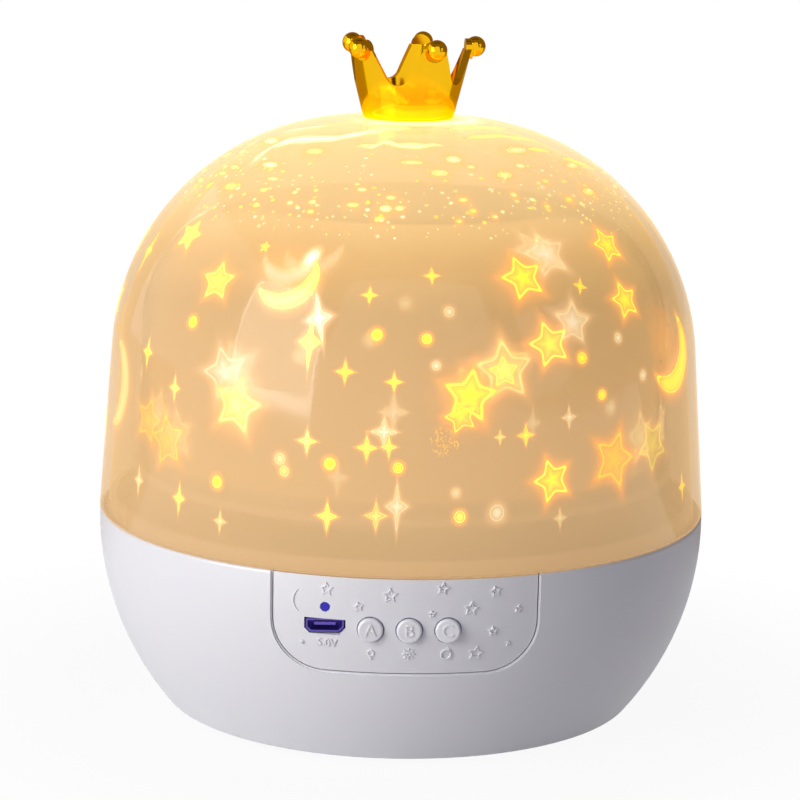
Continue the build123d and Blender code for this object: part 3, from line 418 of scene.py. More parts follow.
# %% Gold
crown_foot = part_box("dome_cover")[1].z
paints["crown_gold"], shader = dressed("crown_gold", plating, {
    "Bright": (0.93, 0.52, 0.010), "Dull": (0.89, 0.47, 0.006),
    "Speckle Size": 4, "Smoothest": 0.08, "Roughest": 0.14,
}, {"Metallic": 1.0, "Specular Tint": (1.0, 0.72, 0.25), "Emission Strength": 1.0})
tree = paints["crown_gold"].node_tree
rise = remap(tree, axis_of(tree, object_place(tree), "Z"), crown_foot, crown_foot + 5 * MM)
feed(shader, {"Emission Color": ramp_of(tree, rise, [
    (0, (0.80, 0.60, 0.0)), (0.35, (0.24, 0.15, 0.0)), (0.9, (0, 0, 0)),
])})
print("crown foot at", round(crown_foot / MM, 1), "mm")

# %% [markdown]
# ## The glowing dome
# The dome is thin amber plastic, lit from inside. Real scattering in a thin shell is slow to render
# and looks nearly the same as a shell that shines a little by itself and is partly clear. So the
# material has an amber body, a glow that grows towards the lamp at the top, and partial
# alpha, through which the star cup shows as in a mist. The cup is clear, but where one looks along
# its wall there is more plastic to see through, so a mask over the angle makes its outline brown.

# %% Dome, film and cup
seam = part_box("dome_cover")[0].z
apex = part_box("dome_cover")[1].z


def glowing(name, into, stops, low, high, cloud_scale, cloud_depth):
    """A material whose glow is a colour ramp over height, with soft clouds in it."""
    material, shader = new_material(name, into)
    tree = material.node_tree
    where = object_place(tree)
    clouds = noise(tree, where, cloud_scale, 1.5)
    drift = maths(tree, "MULTIPLY_ADD", clouds, cloud_depth, axis_of(tree, where, "Z"))
    rise = remap(tree, drift, low + cloud_depth / 2, high + cloud_depth / 2)
    feed(shader, {"Emission Color": ramp_of(tree, rise, stops), "Emission Strength": 1.0})
    return material


paints["dome_amber"] = glowing("dome_amber", {
    "Base Color": (0.42, 0.28, 0.145), "Roughness": 0.06, "IOR": 1.49, "Alpha": 0.62,
}, [
    (0.00, (0.38, 0.235, 0.10)), (0.12, (0.44, 0.28, 0.12)), (0.40, (0.40, 0.26, 0.115)),
    (0.60, (0.36, 0.235, 0.095)), (0.72, (0.48, 0.31, 0.115)), (0.84, (0.64, 0.45, 0.20)),
    (0.95, (0.76, 0.54, 0.24)), (1.00, (0.82, 0.60, 0.26)),
], seam, apex, 16, 14 * MM)

film_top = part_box("star_film")[1].z
film_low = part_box("star_film")[0].z
paints["star_film"] = glowing("star_film", {"Base Color": (0.60, 0.42, 0.22), "Roughness": 0.35}, [
    (0.00, (0.50, 0.29, 0.10)), (0.5, (0.54, 0.32, 0.11)), (0.92, (0.60, 0.37, 0.14)),
    (1.0, (0.78, 0.52, 0.22)),
], film_low, film_top, 30, 12 * MM)

clear, shader = dressed("cup_clear", skin, {
    "Colour": (0.85, 0.70, 0.50), "Cloud Colour": (0.95, 0.85, 0.68),
    "Roughness": 0.08, "Handling": 0.06, "Grain Height": 0.05,
}, {"IOR": 1.49})
tree = clear.node_tree
facing = add_node(tree, "ShaderNodeLayerWeight", {"Blend": 0.5}).outputs["Facing"]
plain = shader.inputs["Base Color"].links[0].from_socket
feed(shader, {
    "Alpha": remap(tree, facing, 0.76, 0.88, 0.18, 1.0),
    "Base Color": blend(tree, remap(tree, facing, 0.76, 0.86), plain, (0.06, 0.02, 0.004)),
})
paints["cup_clear"] = clear
print("dome from", round(seam / MM, 1), "to", round(apex / MM, 1), "mm")


# %% Lamps and lenses
def lens(name, colour, glow_colour, strength, alpha):
    """Clear or tinted resin with a glow of its own."""
    return dressed(name, skin, {
        "Colour": colour, "Cloud Colour": tuple(0.8 * c for c in colour),
        "Roughness": 0.12, "Handling": 0.05, "Grain Height": 0.0,
    }, {
        "IOR": 1.5, "Alpha": alpha, "Emission Color": glow_colour, "Emission Strength": strength,
    })[0]


paints["lens_clear"] = lens("lens_clear", (0.75, 0.75, 0.78), (0.10, 0.09, 0.08), 0.5, 0.7)
paints["warm_lamp"] = lens("warm_lamp", (1.0, 0.80, 0.42), (1.0, 0.72, 0.32), 3.0, 1.0)
blue_lens = lens("indicator_blue", (0.008, 0.002, 0.14), (0.012, 0.002, 0.36), 0.8, 1.0)
print("lenses:", len(paints) + 1, "materials so far")

# %% [markdown]
# ## Cells
# A small cell has a plain printed wrap and bare metal at both ends. Wrap and ends are one solid, so
# a mask over the length, in Object coordinates, tells the shader where the wrap stops.

# %% Cell wrap
wrap, shader = new_material("cell_wrap")
tree = wrap.node_tree
where = object_place(tree)
from_middle = maths(tree, "ABSOLUTE", axis_of(tree, where, "Y"))
band = maths(tree, "GREATER_THAN", from_middle, 14.5 * MM)
bare = maths(tree, "GREATER_THAN", from_middle, 21.0 * MM)
printed = blend(tree, band, (0.02, 0.05, 0.16), (0.55, 0.36, 0.08))
feed(shader, {
    "Base Color": blend(tree, bare, printed, (0.62, 0.61, 0.60)), "Metallic": bare,
    "Roughness": remap(tree, noise(tree, where, 400, 2), 0, 1, 0.22, 0.4),
})
paints["cell_wrap"] = wrap

# %% Paint the solid pieces
slots = {part["node"]: part["material_slot"] for part in frame["record"]["subparts"]}
for name, piece in nodes.items():
    for place in piece.material_slots:
        place.material = blue_lens if name == "light_pipe" else paints[slots[name]]
print("painted", len(nodes), "solid pieces from", len(paints), "materials")

# %% [markdown]
# ## Shapes of light
# The film's cut-outs throw six kinds of light shape: fat five-pointed stars, slim four-pointed
# sparkles, round dots, moons, fine specks, and a haze for the glow around a bright shape. Each
# kind is a flat patch of a few rings. A value called glow says where in the shape a point lies: 0
# at the end of the halo, 1 on the bright outline, 2 in the middle. The colours are read from it.

# %% Flat patches with a glow value
def patch_object(name, points, faces, glow):
    mesh = bpy.data.meshes.new(name)
    mesh.from_pydata(points, [], faces)
    mesh.attributes.new("glow", "FLOAT", "POINT").data.foreach_set("value", glow)
    return bpy.data.objects.new(name, mesh)


def ring_growth(scale, reach):
    """How much a ring grows a corner at this distance from the middle. Outside the outline that is
    partly an equal step all round, so that the halo of a slim shape stays round."""
    if scale < 1:
        return scale
    in_proportion, equal_step = 0.35, 0.25
    norm = 0.75 if reach > 0.8 else 0.9
    return 1 + (scale - 1) * (in_proportion + equal_step / reach) / norm


def closed_patch(name, outline, rings, middle=2.0):
    """A patch made of copies of an outline. Each ring has a scale and a glow."""
    points, faces, glow = [(0, 0, 0)], [], [middle]
    count = len(outline)
    for scale, value in rings:
        for x, y in outline:
            grown = ring_growth(scale, math.hypot(x, y))
            points.append((grown * x, grown * y, 0))
        glow += [value] * count
    for i in range(count):
        j = (i + 1) % count
        faces.append((0, 1 + i, 1 + j))
        for ring in range(len(rings) - 1):
            a, b = 1 + ring * count, 1 + (ring + 1) * count
            faces.append((a + i, b + i, b + j, a + j))
    return patch_object(name, points, faces, glow)


def star_outline(points, inner, rounding):
    """Corner points of a star with radius 1, each corner cut by a few points to round it."""
    corners = []
    for k in range(2 * points):
        radius = 1 if k % 2 == 0 else inner
        angle = math.pi / 2 + math.pi * k / points
        corners.append(Vector((radius * math.cos(angle), radius * math.sin(angle))))
    outline = []
    for k, corner in enumerate(corners):
        before, after = corners[k - 1], corners[(k + 1) % len(corners)]
        a, b = corner.lerp(before, rounding), corner.lerp(after, rounding)
        for t in (0, 0.5, 1):
            outline.append(a.lerp(corner, t).lerp(corner.lerp(b, t), t)[:])
    return outline


def strip_faces(steps, wide, first=0):
    """Quads between neighbouring rows of points, each row of the same width."""
    return [
        (a, a + 1, a + wide + 1, a + wide)
        for i in range(steps) for a in range(first + i * wide, first + (i + 1) * wide - 1)
    ]


def moon_patch(name, opening):
    """A crescent as a ribbon whose width swells in the middle; opening is its half angle."""
    profile = [
        (-3.8, 0), (-2.1, 0.35), (-1.3, 0.75), (-1.0, 1.0), (-0.85, 1.55), (0, 1.9),
        (0.85, 1.55), (1.0, 1.0), (1.3, 0.75), (2.1, 0.35), (3.8, 0),
    ]
    steps = 22
    points, glow = [], []
    for i in range(steps + 1):
        share = i / steps
        angle = math.pi + opening * (2 * share - 1)
        half_width = 0.20 * math.sin(math.pi * share) ** 1.05 + 0.01
        fade = min(1, 5 * share, 5 * (1 - share))
        centre = 0.90 - 0.08 * math.sin(math.pi * share)
        for offset, value in profile:
            body = max(-1, min(1, offset))
            halo = offset - body
            radius = centre + body * half_width + halo * (0.05 + 0.4 * half_width)
            points.append((radius * math.cos(angle), radius * math.sin(angle), 0))
            glow.append(value * fade)
    return patch_object(name, points, strip_faces(steps, len(profile)), glow)


def polygon(count):
    return [(math.cos(math.tau * k / count), math.sin(math.tau * k / count)) for k in range(count)]


five_star = star_outline(5, 0.50, 0.22)
four_star = star_outline(4, 0.36, 0.10)
round_dot = polygon(14)
STAR, SPARKLE, DOT, MOON, SPECK, HAZE = range(6)
kinds = bpy.data.collections.new("light_shapes")
for patch in (
    closed_patch("k0_star", five_star, [
        (0.45, 1.6), (0.76, 1.25), (0.86, 1.12), (0.92, 1.0), (1.0, 0.95), (1.08, 0.80),
        (1.3, 0.5), (1.7, 0.22), (2.2, 0.0),
    ]),
    closed_patch("k1_sparkle", four_star, [
        (0.4, 1.75), (0.80, 1.3), (1.0, 0.9), (1.35, 0.45), (2.0, 0.0),
    ]),
    closed_patch("k2_dot", round_dot, [
        (0.5, 1.85), (0.85, 1.2), (1.2, 0.75), (1.9, 0.35), (2.7, 0.0),
    ]),
    moon_patch("k3_moon", math.radians(100)),
    closed_patch("k4_speck", polygon(7), [(0.55, 1.75), (1.0, 1.2), (1.6, 0.0)]),
    closed_patch("k5_haze", round_dot, [
        (0.25, 0.58), (0.5, 0.38), (0.75, 0.15), (0.99, 0.0),
    ], 0.66),
):
    kinds.objects.link(patch)

# %% [markdown]
# ## Laying the shapes on the dome
# The tree below sets a patch at each point, turns it to face outwards, and then drops every corner
# of it on to the surface along a line to the dome's middle. So flat patches bend with the dome and
# the stars near the shoulder grow long, as thrown light does. Each patch also has a small lift of
# its own, so that two that overlap never lie in one plane. Realize Instances and Set Material end
# the tree.

# %% Geometry Nodes tree that lays patches on a surface
lay_tree, given, made = new_group(
    "lay_light", "GeometryNodeTree",
    {
        "Geometry": "Geometry", "Shapes": "Collection", "Surface": "Object", "Middle": "Vector",
        "Proud": "Float", "Material": "Material",
    },
    {"Geometry": "Geometry"},
)


def lay_node(kind, into=None, **settings):
    return add_node(lay_tree, kind, into, **settings).outputs


def stored(name):
    into = {"Name": name}
    return lay_node("GeometryNodeInputNamedAttribute", into, data_type="FLOAT")["Attribute"]


def vectors(operation, into):
    return lay_node("ShaderNodeVectorMath", into, operation=operation)[0]


ray_length = 0.2
place = lay_node("GeometryNodeInputPosition")[0]
outward = vectors("NORMALIZE", {0: vectors("SUBTRACT", {0: place, 1: given["Middle"]})})
facing = lay_node("FunctionNodeAxesToRotation", {
    "Primary Axis": outward, "Secondary Axis": (0, 0, 1),
}, primary_axis="Z", secondary_axis="Y")[0]
tilt = lay_node("FunctionNodeAxisAngleToRotation", {"Axis": (0, 0, 1), "Angle": stored("tilt")})[0]
turned = lay_node("FunctionNodeRotateRotation", {
    "Rotation": facing, "Rotate By": tilt,
}, rotation_space="LOCAL")[0]
shapes = lay_node("GeometryNodeCollectionInfo", {
    "Collection": given["Shapes"], "Separate Children": True, "Reset Children": True,
})[0]
stretch = lay_node("ShaderNodeCombineXYZ", {"X": stored("width"), "Y": stored("height"), "Z": 1})[0]
copies = lay_node("GeometryNodeInstanceOnPoints", {
    "Points": given["Geometry"], "Instance": shapes, "Pick Instance": True,
    "Instance Index": stored("kind"), "Rotation": turned, "Scale": stretch,
})[0]
real = lay_node("GeometryNodeRealizeInstances", {0: copies})[0]

surface = lay_node("GeometryNodeObjectInfo", {
    "Object": given["Surface"],
}, transform_space="RELATIVE")["Geometry"]
far_out = vectors("MULTIPLY_ADD", {0: outward, 1: (ray_length,) * 3, 2: given["Middle"]})
drop = lay_node("GeometryNodeRaycast", {
    "Target Geometry": surface, "Source Position": far_out, "Ray Length": ray_length,
    "Ray Direction": vectors("SCALE", {0: outward, "Scale": -1}),
})
own_lift = maths(lay_tree, "ADD", stored("apart"), stored("lift"))
lift = vectors("SCALE", {
    0: drop["Hit Normal"], "Scale": maths(lay_tree, "ADD", given["Proud"], own_lift),
})
laid = lay_node("GeometryNodeSetPosition", {
    "Geometry": real, "Selection": drop["Is Hit"],
    "Position": vectors("ADD", {0: drop["Hit Position"], 1: lift}),
})[0]
smooth = lay_node("GeometryNodeSetShadeSmooth", {"Geometry": laid})[0]
paint = lay_node("GeometryNodeSetMaterial", {"Geometry": smooth, "Material": given["Material"]})[0]
feed(made, {"Geometry": paint})
print("lay_light:", len(lay_tree.nodes), "nodes")


# %% Run the tree on a list of places and keep the plain mesh
def plain_mesh(source):
    """The mesh that an object evaluates to. The object itself goes."""
    graph = bpy.context.evaluated_depsgraph_get()
    mesh = bpy.data.meshes.new_from_object(source.evaluated_get(graph))
    name = source.name
    bpy.data.objects.remove(source)
    mesh.name = name
    return mesh


def run_tree(source, tree, values):
    """Set the modifier's inputs by identifier, evaluate once and return a plain mesh object."""
    modifier = source.modifiers.new("make", "NODES")
    modifier.node_group = tree
    identifiers = {
        item.name: item.identifier for item in tree.interface.items_tree
        if item.item_type == "SOCKET" and item.in_out == "INPUT"
    }
    for name, value in values.items():
        modifier[identifiers[name]] = value
    source.update_tag()
    name = source.name
    return put(name, plain_mesh(source))


def outer_skin(node):
    """A search tree for the surface of a solid piece."""
    return BVHTree.FromObject(nodes[node], bpy.context.evaluated_depsgraph_get())


PANEL_RADIUS = 64.0


def side_point(skin_tree, azimuth, level):
    """The surface point at an azimuth (0 is the panel's side) and a level, as seen from outside.
    Over a hole it is a point on the panel's cylinder."""
    turn = math.radians(azimuth)
    outward = Vector((math.sin(turn), -math.cos(turn), 0))
    start = ray_length * outward + Vector((0, 0, level * MM))
    hit = skin_tree.ray_cast(start, -outward, ray_length)[0]
    return hit or start - (ray_length - PANEL_RADIUS * MM) * outward


ROW = ("kind", "azimuth", "level", "width", "height", "warm", "gain", "tilt")
UNITS = {"width": MM, "height": MM, "apart": MM, "tilt": math.pi / 180}
LIFT_STEP, LIFTS = 0.005, 9


def lay(name, rows, node, shapes, middle, proud, material):
    """Lay shapes on a solid piece. A row holds what ROW says, where gain and tilt may be left out.
    Azimuth 0 is the panel's side; lengths are in mm and angles in degrees."""
    skin_tree = outer_skin(node)
    mesh = bpy.data.meshes.new(name)
    mesh.from_pydata([side_point(skin_tree, row[1], row[2]) for row in rows], [], [])
    rows = [
        {"gain": 1, "tilt": 0, **dict(zip(ROW, row)), "apart": LIFT_STEP * (k % LIFTS)}
        for k, row in enumerate(rows)
    ]
    for key in ("kind", "width", "height", "tilt", "gain", "warm", "apart"):
        layer = mesh.attributes.new(key, "FLOAT", "POINT")
        layer.data.foreach_set("value", [row[key] * UNITS.get(key, 1) for row in rows])
    piece = run_tree(put(name, mesh), lay_tree, {
        "Shapes": shapes, "Surface": nodes[node], "Middle": (0, 0, middle * MM),
        "Proud": proud * MM, "Material": material,
    })
    print(name + ":", len(rows), "patches,", len(piece.data.polygons), "faces")
    return piece


# %% [markdown]
# ## Colours of the light shapes
# One group turns glow, gain and warmth into a colour and an alpha. Bright shapes have a pale
# yellow outline, a deeper yellow inside and an orange halo; faint ones are cream and nearly clear.
# Warmth runs from cream at 0 through yellow at 1 to orange at 2.

# %% Shader group for light shapes
shine, given, made = new_group(
    "light_shape", "ShaderNodeTree",
    {"Glow": 1.0, "Gain": 1.0, "Warmth": 0.5}, {"Colour": "Color", "Alpha": "Float"},
)
half = maths(shine, "MULTIPLY", given["Glow"], 0.5)
bright = ramp_of(shine, half, [
    (0.0, (1.0, 0.42, 0.12)), (0.30, (1.0, 0.44, 0.10)), (0.42, (1.0, 0.60, 0.08)),
    (0.47, (1.0, 0.90, 0.08)), (0.53, (1.0, 0.92, 0.10)), (0.58, (0.90, 0.62, 0.06)),
    (0.72, (0.98, 0.74, 0.05)), (1.0, (1.0, 0.90, 0.04)),
])
cream = ramp_of(shine, half, [
    (0.0, (1.0, 0.55, 0.26)), (0.42, (1.0, 0.68, 0.38)), (0.5, (1.0, 0.88, 0.55)),
    (0.62, (1.0, 0.82, 0.48)), (0.86, (1.0, 0.96, 0.72)), (1.0, (1.0, 0.98, 0.88)),
])
cover = ramp_of(shine, half, [(place, (value,) * 3) for place, value in (
    (0.0, 0), (0.11, 0.10), (0.25, 0.34), (0.40, 0.60), (0.46, 1), (0.53, 1), (0.59, 0.48),
    (0.72, 0.60), (1.0, 0.95),
)])
yellow = blend(shine, given["Warmth"], cream, bright)
past_yellow = maths(shine, "SUBTRACT", given["Warmth"], 1, use_clamp=True)
feed(made, {
    "Colour": blend(shine, past_yellow, yellow, (1.0, 0.40, 0.07)),
    "Alpha": maths(shine, "MULTIPLY", cover, given["Gain"], use_clamp=True),
})


def light_material(name, strength):
    """Light caught by a surface: the group's colour as base and glow, the group's alpha."""
    material, shader = new_material(name, {"Roughness": 0.15, "Emission Strength": strength})
    tree = material.node_tree
    shown = add_node(tree, "ShaderNodeGroup", {
        socket: add_node(tree, "ShaderNodeAttribute", attribute_name=layer).outputs["Fac"]
        for socket, layer in (("Glow", "glow"), ("Gain", "gain"), ("Warmth", "warm"))
    }, node_tree=shine).outputs
    feed(shader, {
        "Base Color": shown["Colour"], "Emission Color": shown["Colour"], "Alpha": shown["Alpha"],
    })
    return material


dome_light = light_material("dome_light", 0.85)
film_light = light_material("film_light", 2.2)
print("light_shape:", len(shine.nodes), "nodes")

# %% [markdown]
# ## Where the shapes fall
# The list is the film's own layout: big stars in the middle band, sparkles and dots between them.
# The front is listed, and the back repeats the same mixture, because the film goes all round.

# %% Shapes on the front of the dome
def rows_of(runs):
    """Rows in the order of ROW, from runs of rows that share their kind."""
    return [(kind, *row) for kind, run in runs for row in run]


front_rows = rows_of([
    (STAR, [
        (-57.1, 104.4, 3.5, 3.5, 0.9, 1, -8), (-41.7, 97.2, 4.1, 4.1, 0.9, 0.85, 4),
        (-32.5, 74.3, 5.5, 5.5, 0.75, 0.95, -12), (10.8, 78.4, 5.4, 5.4, 1, 1, -8),
        (9.2, 74.4, 3.4, 3.3, 1, 0.6, 16), (23.3, 100.1, 4.7, 4.7, 1, 0.9, 14),
        (26.8, 87.6, 4.7, 4.7, 0.95, 0.95, 14), (49, 104.5, 4, 4, 1, 0.95, 8),
        (47.7, 94.1, 4, 4, 1, 1, 8), (26.5, 61, 4.2, 4.2, 1, 1, 18),
        (40.6, 63.5, 5.7, 5.7, 1.7, 1, -20),
    ]),
    (HAZE, [(40.6, 63.5, 5, 5, 1.6)]),
    (STAR, [(-32.9, 104.4, 1.2, 1.2, 0.9, 0.7)]),
    (MOON, [
        (-26, 100.4, 7.2, 7.2, 0.8, 1, 120), (59.6, 84.4, 10.6, 9.8, 0.97, 1, 128),
        (-74, 72.2, 9, 9.6, 0.6, 0.38, 178),
    ]),
    (SPARKLE, [
        (-8, 97.1, 1.5, 1.6, 0.95), (4.2, 100.8, 1.5, 1.6, 0.95, 0.9),
        (-18.7, 87.9, 2.2, 5.4, 0.85), (-11.7, 82.7, 1.8, 2.1, 0.95, 0.9),
        (-2.8, 81.1, 1.6, 1.8, 0.95), (-18.2, 68.8, 1.9, 2.2, 0.8), (-7.4, 68.2, 2, 2.3, 0.9, 0.9),
        (-3.5, 68.5, 1.5, 2, 0.9, 0.9), (-4.4, 71.4, 2.6, 2.8, 0.2, 0.6),
        (-14.1, 54.4, 2, 2.5, 0.9, 0.95), (-5.5, 55, 2.2, 2.5, 0.8, 0.6),
        (-1.9, 56.9, 2.2, 4.4, 0.2, 0.45), (16.4, 70.2, 1.1, 1.4, 0.7, 0.6),
        (21.3, 70.3, 1.7, 2, 0.95, 0.9), (30.2, 73.1, 1.6, 2.1, 0.25, 0.5),
        (36.3, 97.8, 1.5, 1.6, 1, 0.9, -20), (-48, 75.4, 1.5, 2.5, 0.8, 0.85),
        (-57.8, 81, 1.7, 2.8, 0.9, 0.9), (-45, 53.6, 1.6, 2.6, 0.85, 0.8),
        (-57.8, 54.6, 1.5, 2.5, 0.4, 0.5), (-34.9, 50.8, 1.4, 1.8, 0.5, 0.5),
        (63.5, 53.6, 1.6, 2.3, 1, 0.8), (28, 53.3, 1.3, 1.8, 0.4, 0.4),
        (-72.8, 99.3, 1.6, 4.4, 0.9),
    ]),
    (DOT, [
        (-45.3, 88.9, 1, 1, 1), (-6.2, 89.9, 1, 1, 1), (3, 89.3, 0.9, 0.9, 1),
        (7.3, 94.3, 0.9, 0.9, 0.3, 0.4), (33.6, 84.4, 1, 1, 1), (37.9, 76.7, 0.9, 0.9, 1),
        (-13.9, 64.7, 1, 1, 1), (-36, 58.5, 1, 1, 1), (-23.2, 64.8, 1, 1, 0.5, 0.45),
        (-22.3, 62.5, 0.9, 0.9, 0.8, 0.5), (-1.8, 64.5, 0.9, 0.9, 1, 0.9),
        (9.1, 54.9, 1, 1, 0.9, 0.8), (15.8, 55.4, 1.4, 1.4, 0.2, 0.4),
        (8.4, 59.6, 0.8, 0.8, 0.3, 0.35), (4.7, 84.3, 0.8, 0.8, 0.2, 0.5),
        (43.2, 87.3, 0.9, 0.9, 0.2, 0.5), (49.4, 79.1, 0.9, 0.9, 0.2, 0.5),
    ]),
])
ghost_rows = rows_of([
    (HAZE, [
        (59, 84, 11, 14, 1.1, 0.6), (23.3, 100.1, 9.5, 9.5, 1, 0.6), (49, 104.5, 7.5, 7.5, 1, 0.55),
        (47.7, 94.1, 7.5, 7.5, 1, 0.55), (10.8, 78.4, 11, 11, 1, 0.5),
        (-26, 100.7, 12, 9, 0.7, 0.4), (-32.5, 74.3, 10, 10, 0.7, 0.45),
        (27, 88, 8.5, 8.5, 1, 0.45), (26.5, 61, 7, 7, 1, 0.5), (-41.7, 97.2, 7, 7, 1, 0.4),
    ]),
    (STAR, [
        (17.4, 83, 6.2, 6.2, 0.45, 0.42, 4), (17.2, 82.8, 3.2, 3.2, 1, 0.55, 4),
        (-35.6, 80.2, 5.6, 5.6, 0, 0.34, 20), (30.4, 104, 5.2, 5.2, 0, 0.3, 10),
        (32.5, 91.2, 4.4, 4.4, 0.05, 0.3, -10), (51.9, 64.6, 5.2, 5.2, 0.95, 0.32, 30),
        (-55.8, 67.5, 4.6, 4.6, 1.5, 0.34, -12), (-49.2, 64.6, 5.2, 5.2, 1.6, 0.4, 12),
    ]),
    (MOON, [(-26.2, 104, 6.4, 6.4, 0, 0.28, 98)]),
    (DOT, [(-21.2, 103.2, 1, 1.6, 0, 1.3, -30)]),
    (SPARKLE, [(-17.4, 92.4, 2.6, 5, 0, 0.75, 14)]),
])
patch_chance = random.Random(5)
patch_azimuth, patch_level, patch_reach = 6.2, 69.5, 2.9
mm_per_degree = 1.11
for k in range(90):
    turn, reach = math.tau * patch_chance.random(), patch_reach * patch_chance.random() ** 0.6
    azimuth = patch_azimuth + reach * math.cos(turn) / mm_per_degree
    level = patch_level + reach * math.sin(turn)
    gain, warm = 0.4 + 0.5 * patch_chance.random(), 1.4 + 0.5 * patch_chance.random()
    ghost_rows.append((SPECK, azimuth, level, 0.11, 0.11, warm, gain))
print("front:", len(front_rows), "shapes,", len(ghost_rows), "faint ones behind them")

# %% [markdown]
# Near the top the light falls at a slant, so the shapes turn into short flat streaks, each in a
# haze of its own, and between them lies a band of fine specks in random places.

# %% Shapes on the back, streaks and specks
back_turns = (152, 248)
back_rows = []
for kind, azimuth, *rest in front_rows:
    if abs(azimuth) < 62:
        back_rows.append((kind, azimuth + back_turns[0], *rest))
    if -35 < azimuth < 28:
        back_rows.append((kind, azimuth + back_turns[1], *rest))
near_top = [
    (-37.1, 121.4, 1.9, 1.2, 0.4), (0.6, 123.3, 3, 1, 0.2), (0.4, 120.4, 2.2, 0.7, 0.4),
    (15, 120.9, 1.5, 1.3, 0), (8.8, 118.7, 1.7, 1.1, 0.4), (19.8, 119.6, 0.8, 0.6, 0.3),
    (44.6, 121.9, 2.8, 1.2, 0.3), (29.6, 118.1, 1.7, 1, 0.5), (38.2, 119.4, 1, 0.8, 0),
    (63.2, 118.4, 2.2, 0.9, 0.3), (56.3, 113.9, 1.9, 1, 0.6), (45.6, 113.1, 0.9, 0.8, 0.9),
    (42.5, 116.6, 0.8, 0.6, 0.6), (28.5, 114.7, 0.7, 0.7, 0.5), (36.7, 112.3, 0.7, 0.6, 0.8),
    (13.6, 114.1, 0.9, 0.6, 0.6), (15.5, 112.2, 0.7, 0.6, 0.8), (11.4, 110.4, 0.6, 0.5, 0.7),
    (20.6, 111.1, 0.6, 0.5, 0.7), (-6.3, 112.5, 1.2, 0.9, 0), (-14.7, 112.9, 1.2, 0.6, 0.5),
    (-13.4, 115.6, 0.9, 0.5, 0), (-7.5, 110.7, 1, 0.7, 0.7), (-2.9, 112.6, 0.9, 0.7, 0.2),
    (-5.3, 114.4, 0.9, 0.6, 0.3), (-42.3, 114.2, 1, 0.6, 0.5), (-42.4, 116.2, 1.2, 0.5, 0.1),
    (-41.3, 111.5, 0.8, 0.6, 0.7), (-25, 111.3, 0.7, 0.5, 0.6), (-31.7, 112.5, 0.7, 0.5, 0.1),
    (-25.6, 113, 0.7, 0.6, 0.1), (-32.1, 114.4, 0.6, 0.5, 0.2), (-75.5, 113.4, 1.8, 0.6, 0.4),
    (-66.5, 115.6, 1.6, 0.6, 0.4), (-64, 117, 1.4, 0.6, 0.4),
]
streak_rows = []
for azimuth, level, width, height, warm in near_top:
    for turn in (0, *back_turns):
        spot = (azimuth + turn, level)
        streak_rows.append((SPECK, *spot, 0.88 * width, 0.8 * height, warm))
        streak_rows.append((HAZE, *spot, 2.6 * width, 3.6 * height, 0.9))

chance = random.Random(11)
band_rows = []
for k in range(760):
    level = chance.triangular(105.5, 122, 112.5)
    size = 0.14 + 0.27 * chance.random() ** 2
    stretch = 1.1 + max(0, level - 110) * 0.09 * chance.random()
    azimuth, gain = chance.uniform(0, 360), 0.35 + 0.50 * chance.random()
    warm = chance.choice((0.1, 0.45, 0.75, 0.95))
    band_rows.append((SPECK, azimuth, level, stretch * size, size, warm, gain))
rows = ghost_rows + front_rows + back_rows + streak_rows + band_rows
dome_shapes = lay("dome_light_shapes", rows, "dome_cover", kinds, 80, 0.04, dome_light)
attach(dome_shapes, "dome")

# %% [markdown]
# ## The hot light round the crown
# Straight above the lamp the light is strongest: it makes a white ring round the crown's foot, runs
# out to the left in a bright arc, and waves in front. These follow the dome's top, so they are
# ribbons made along a list of stations, each an azimuth, a distance from the axis and a half width.
# Every ribbon begins with its gain and its warmth.

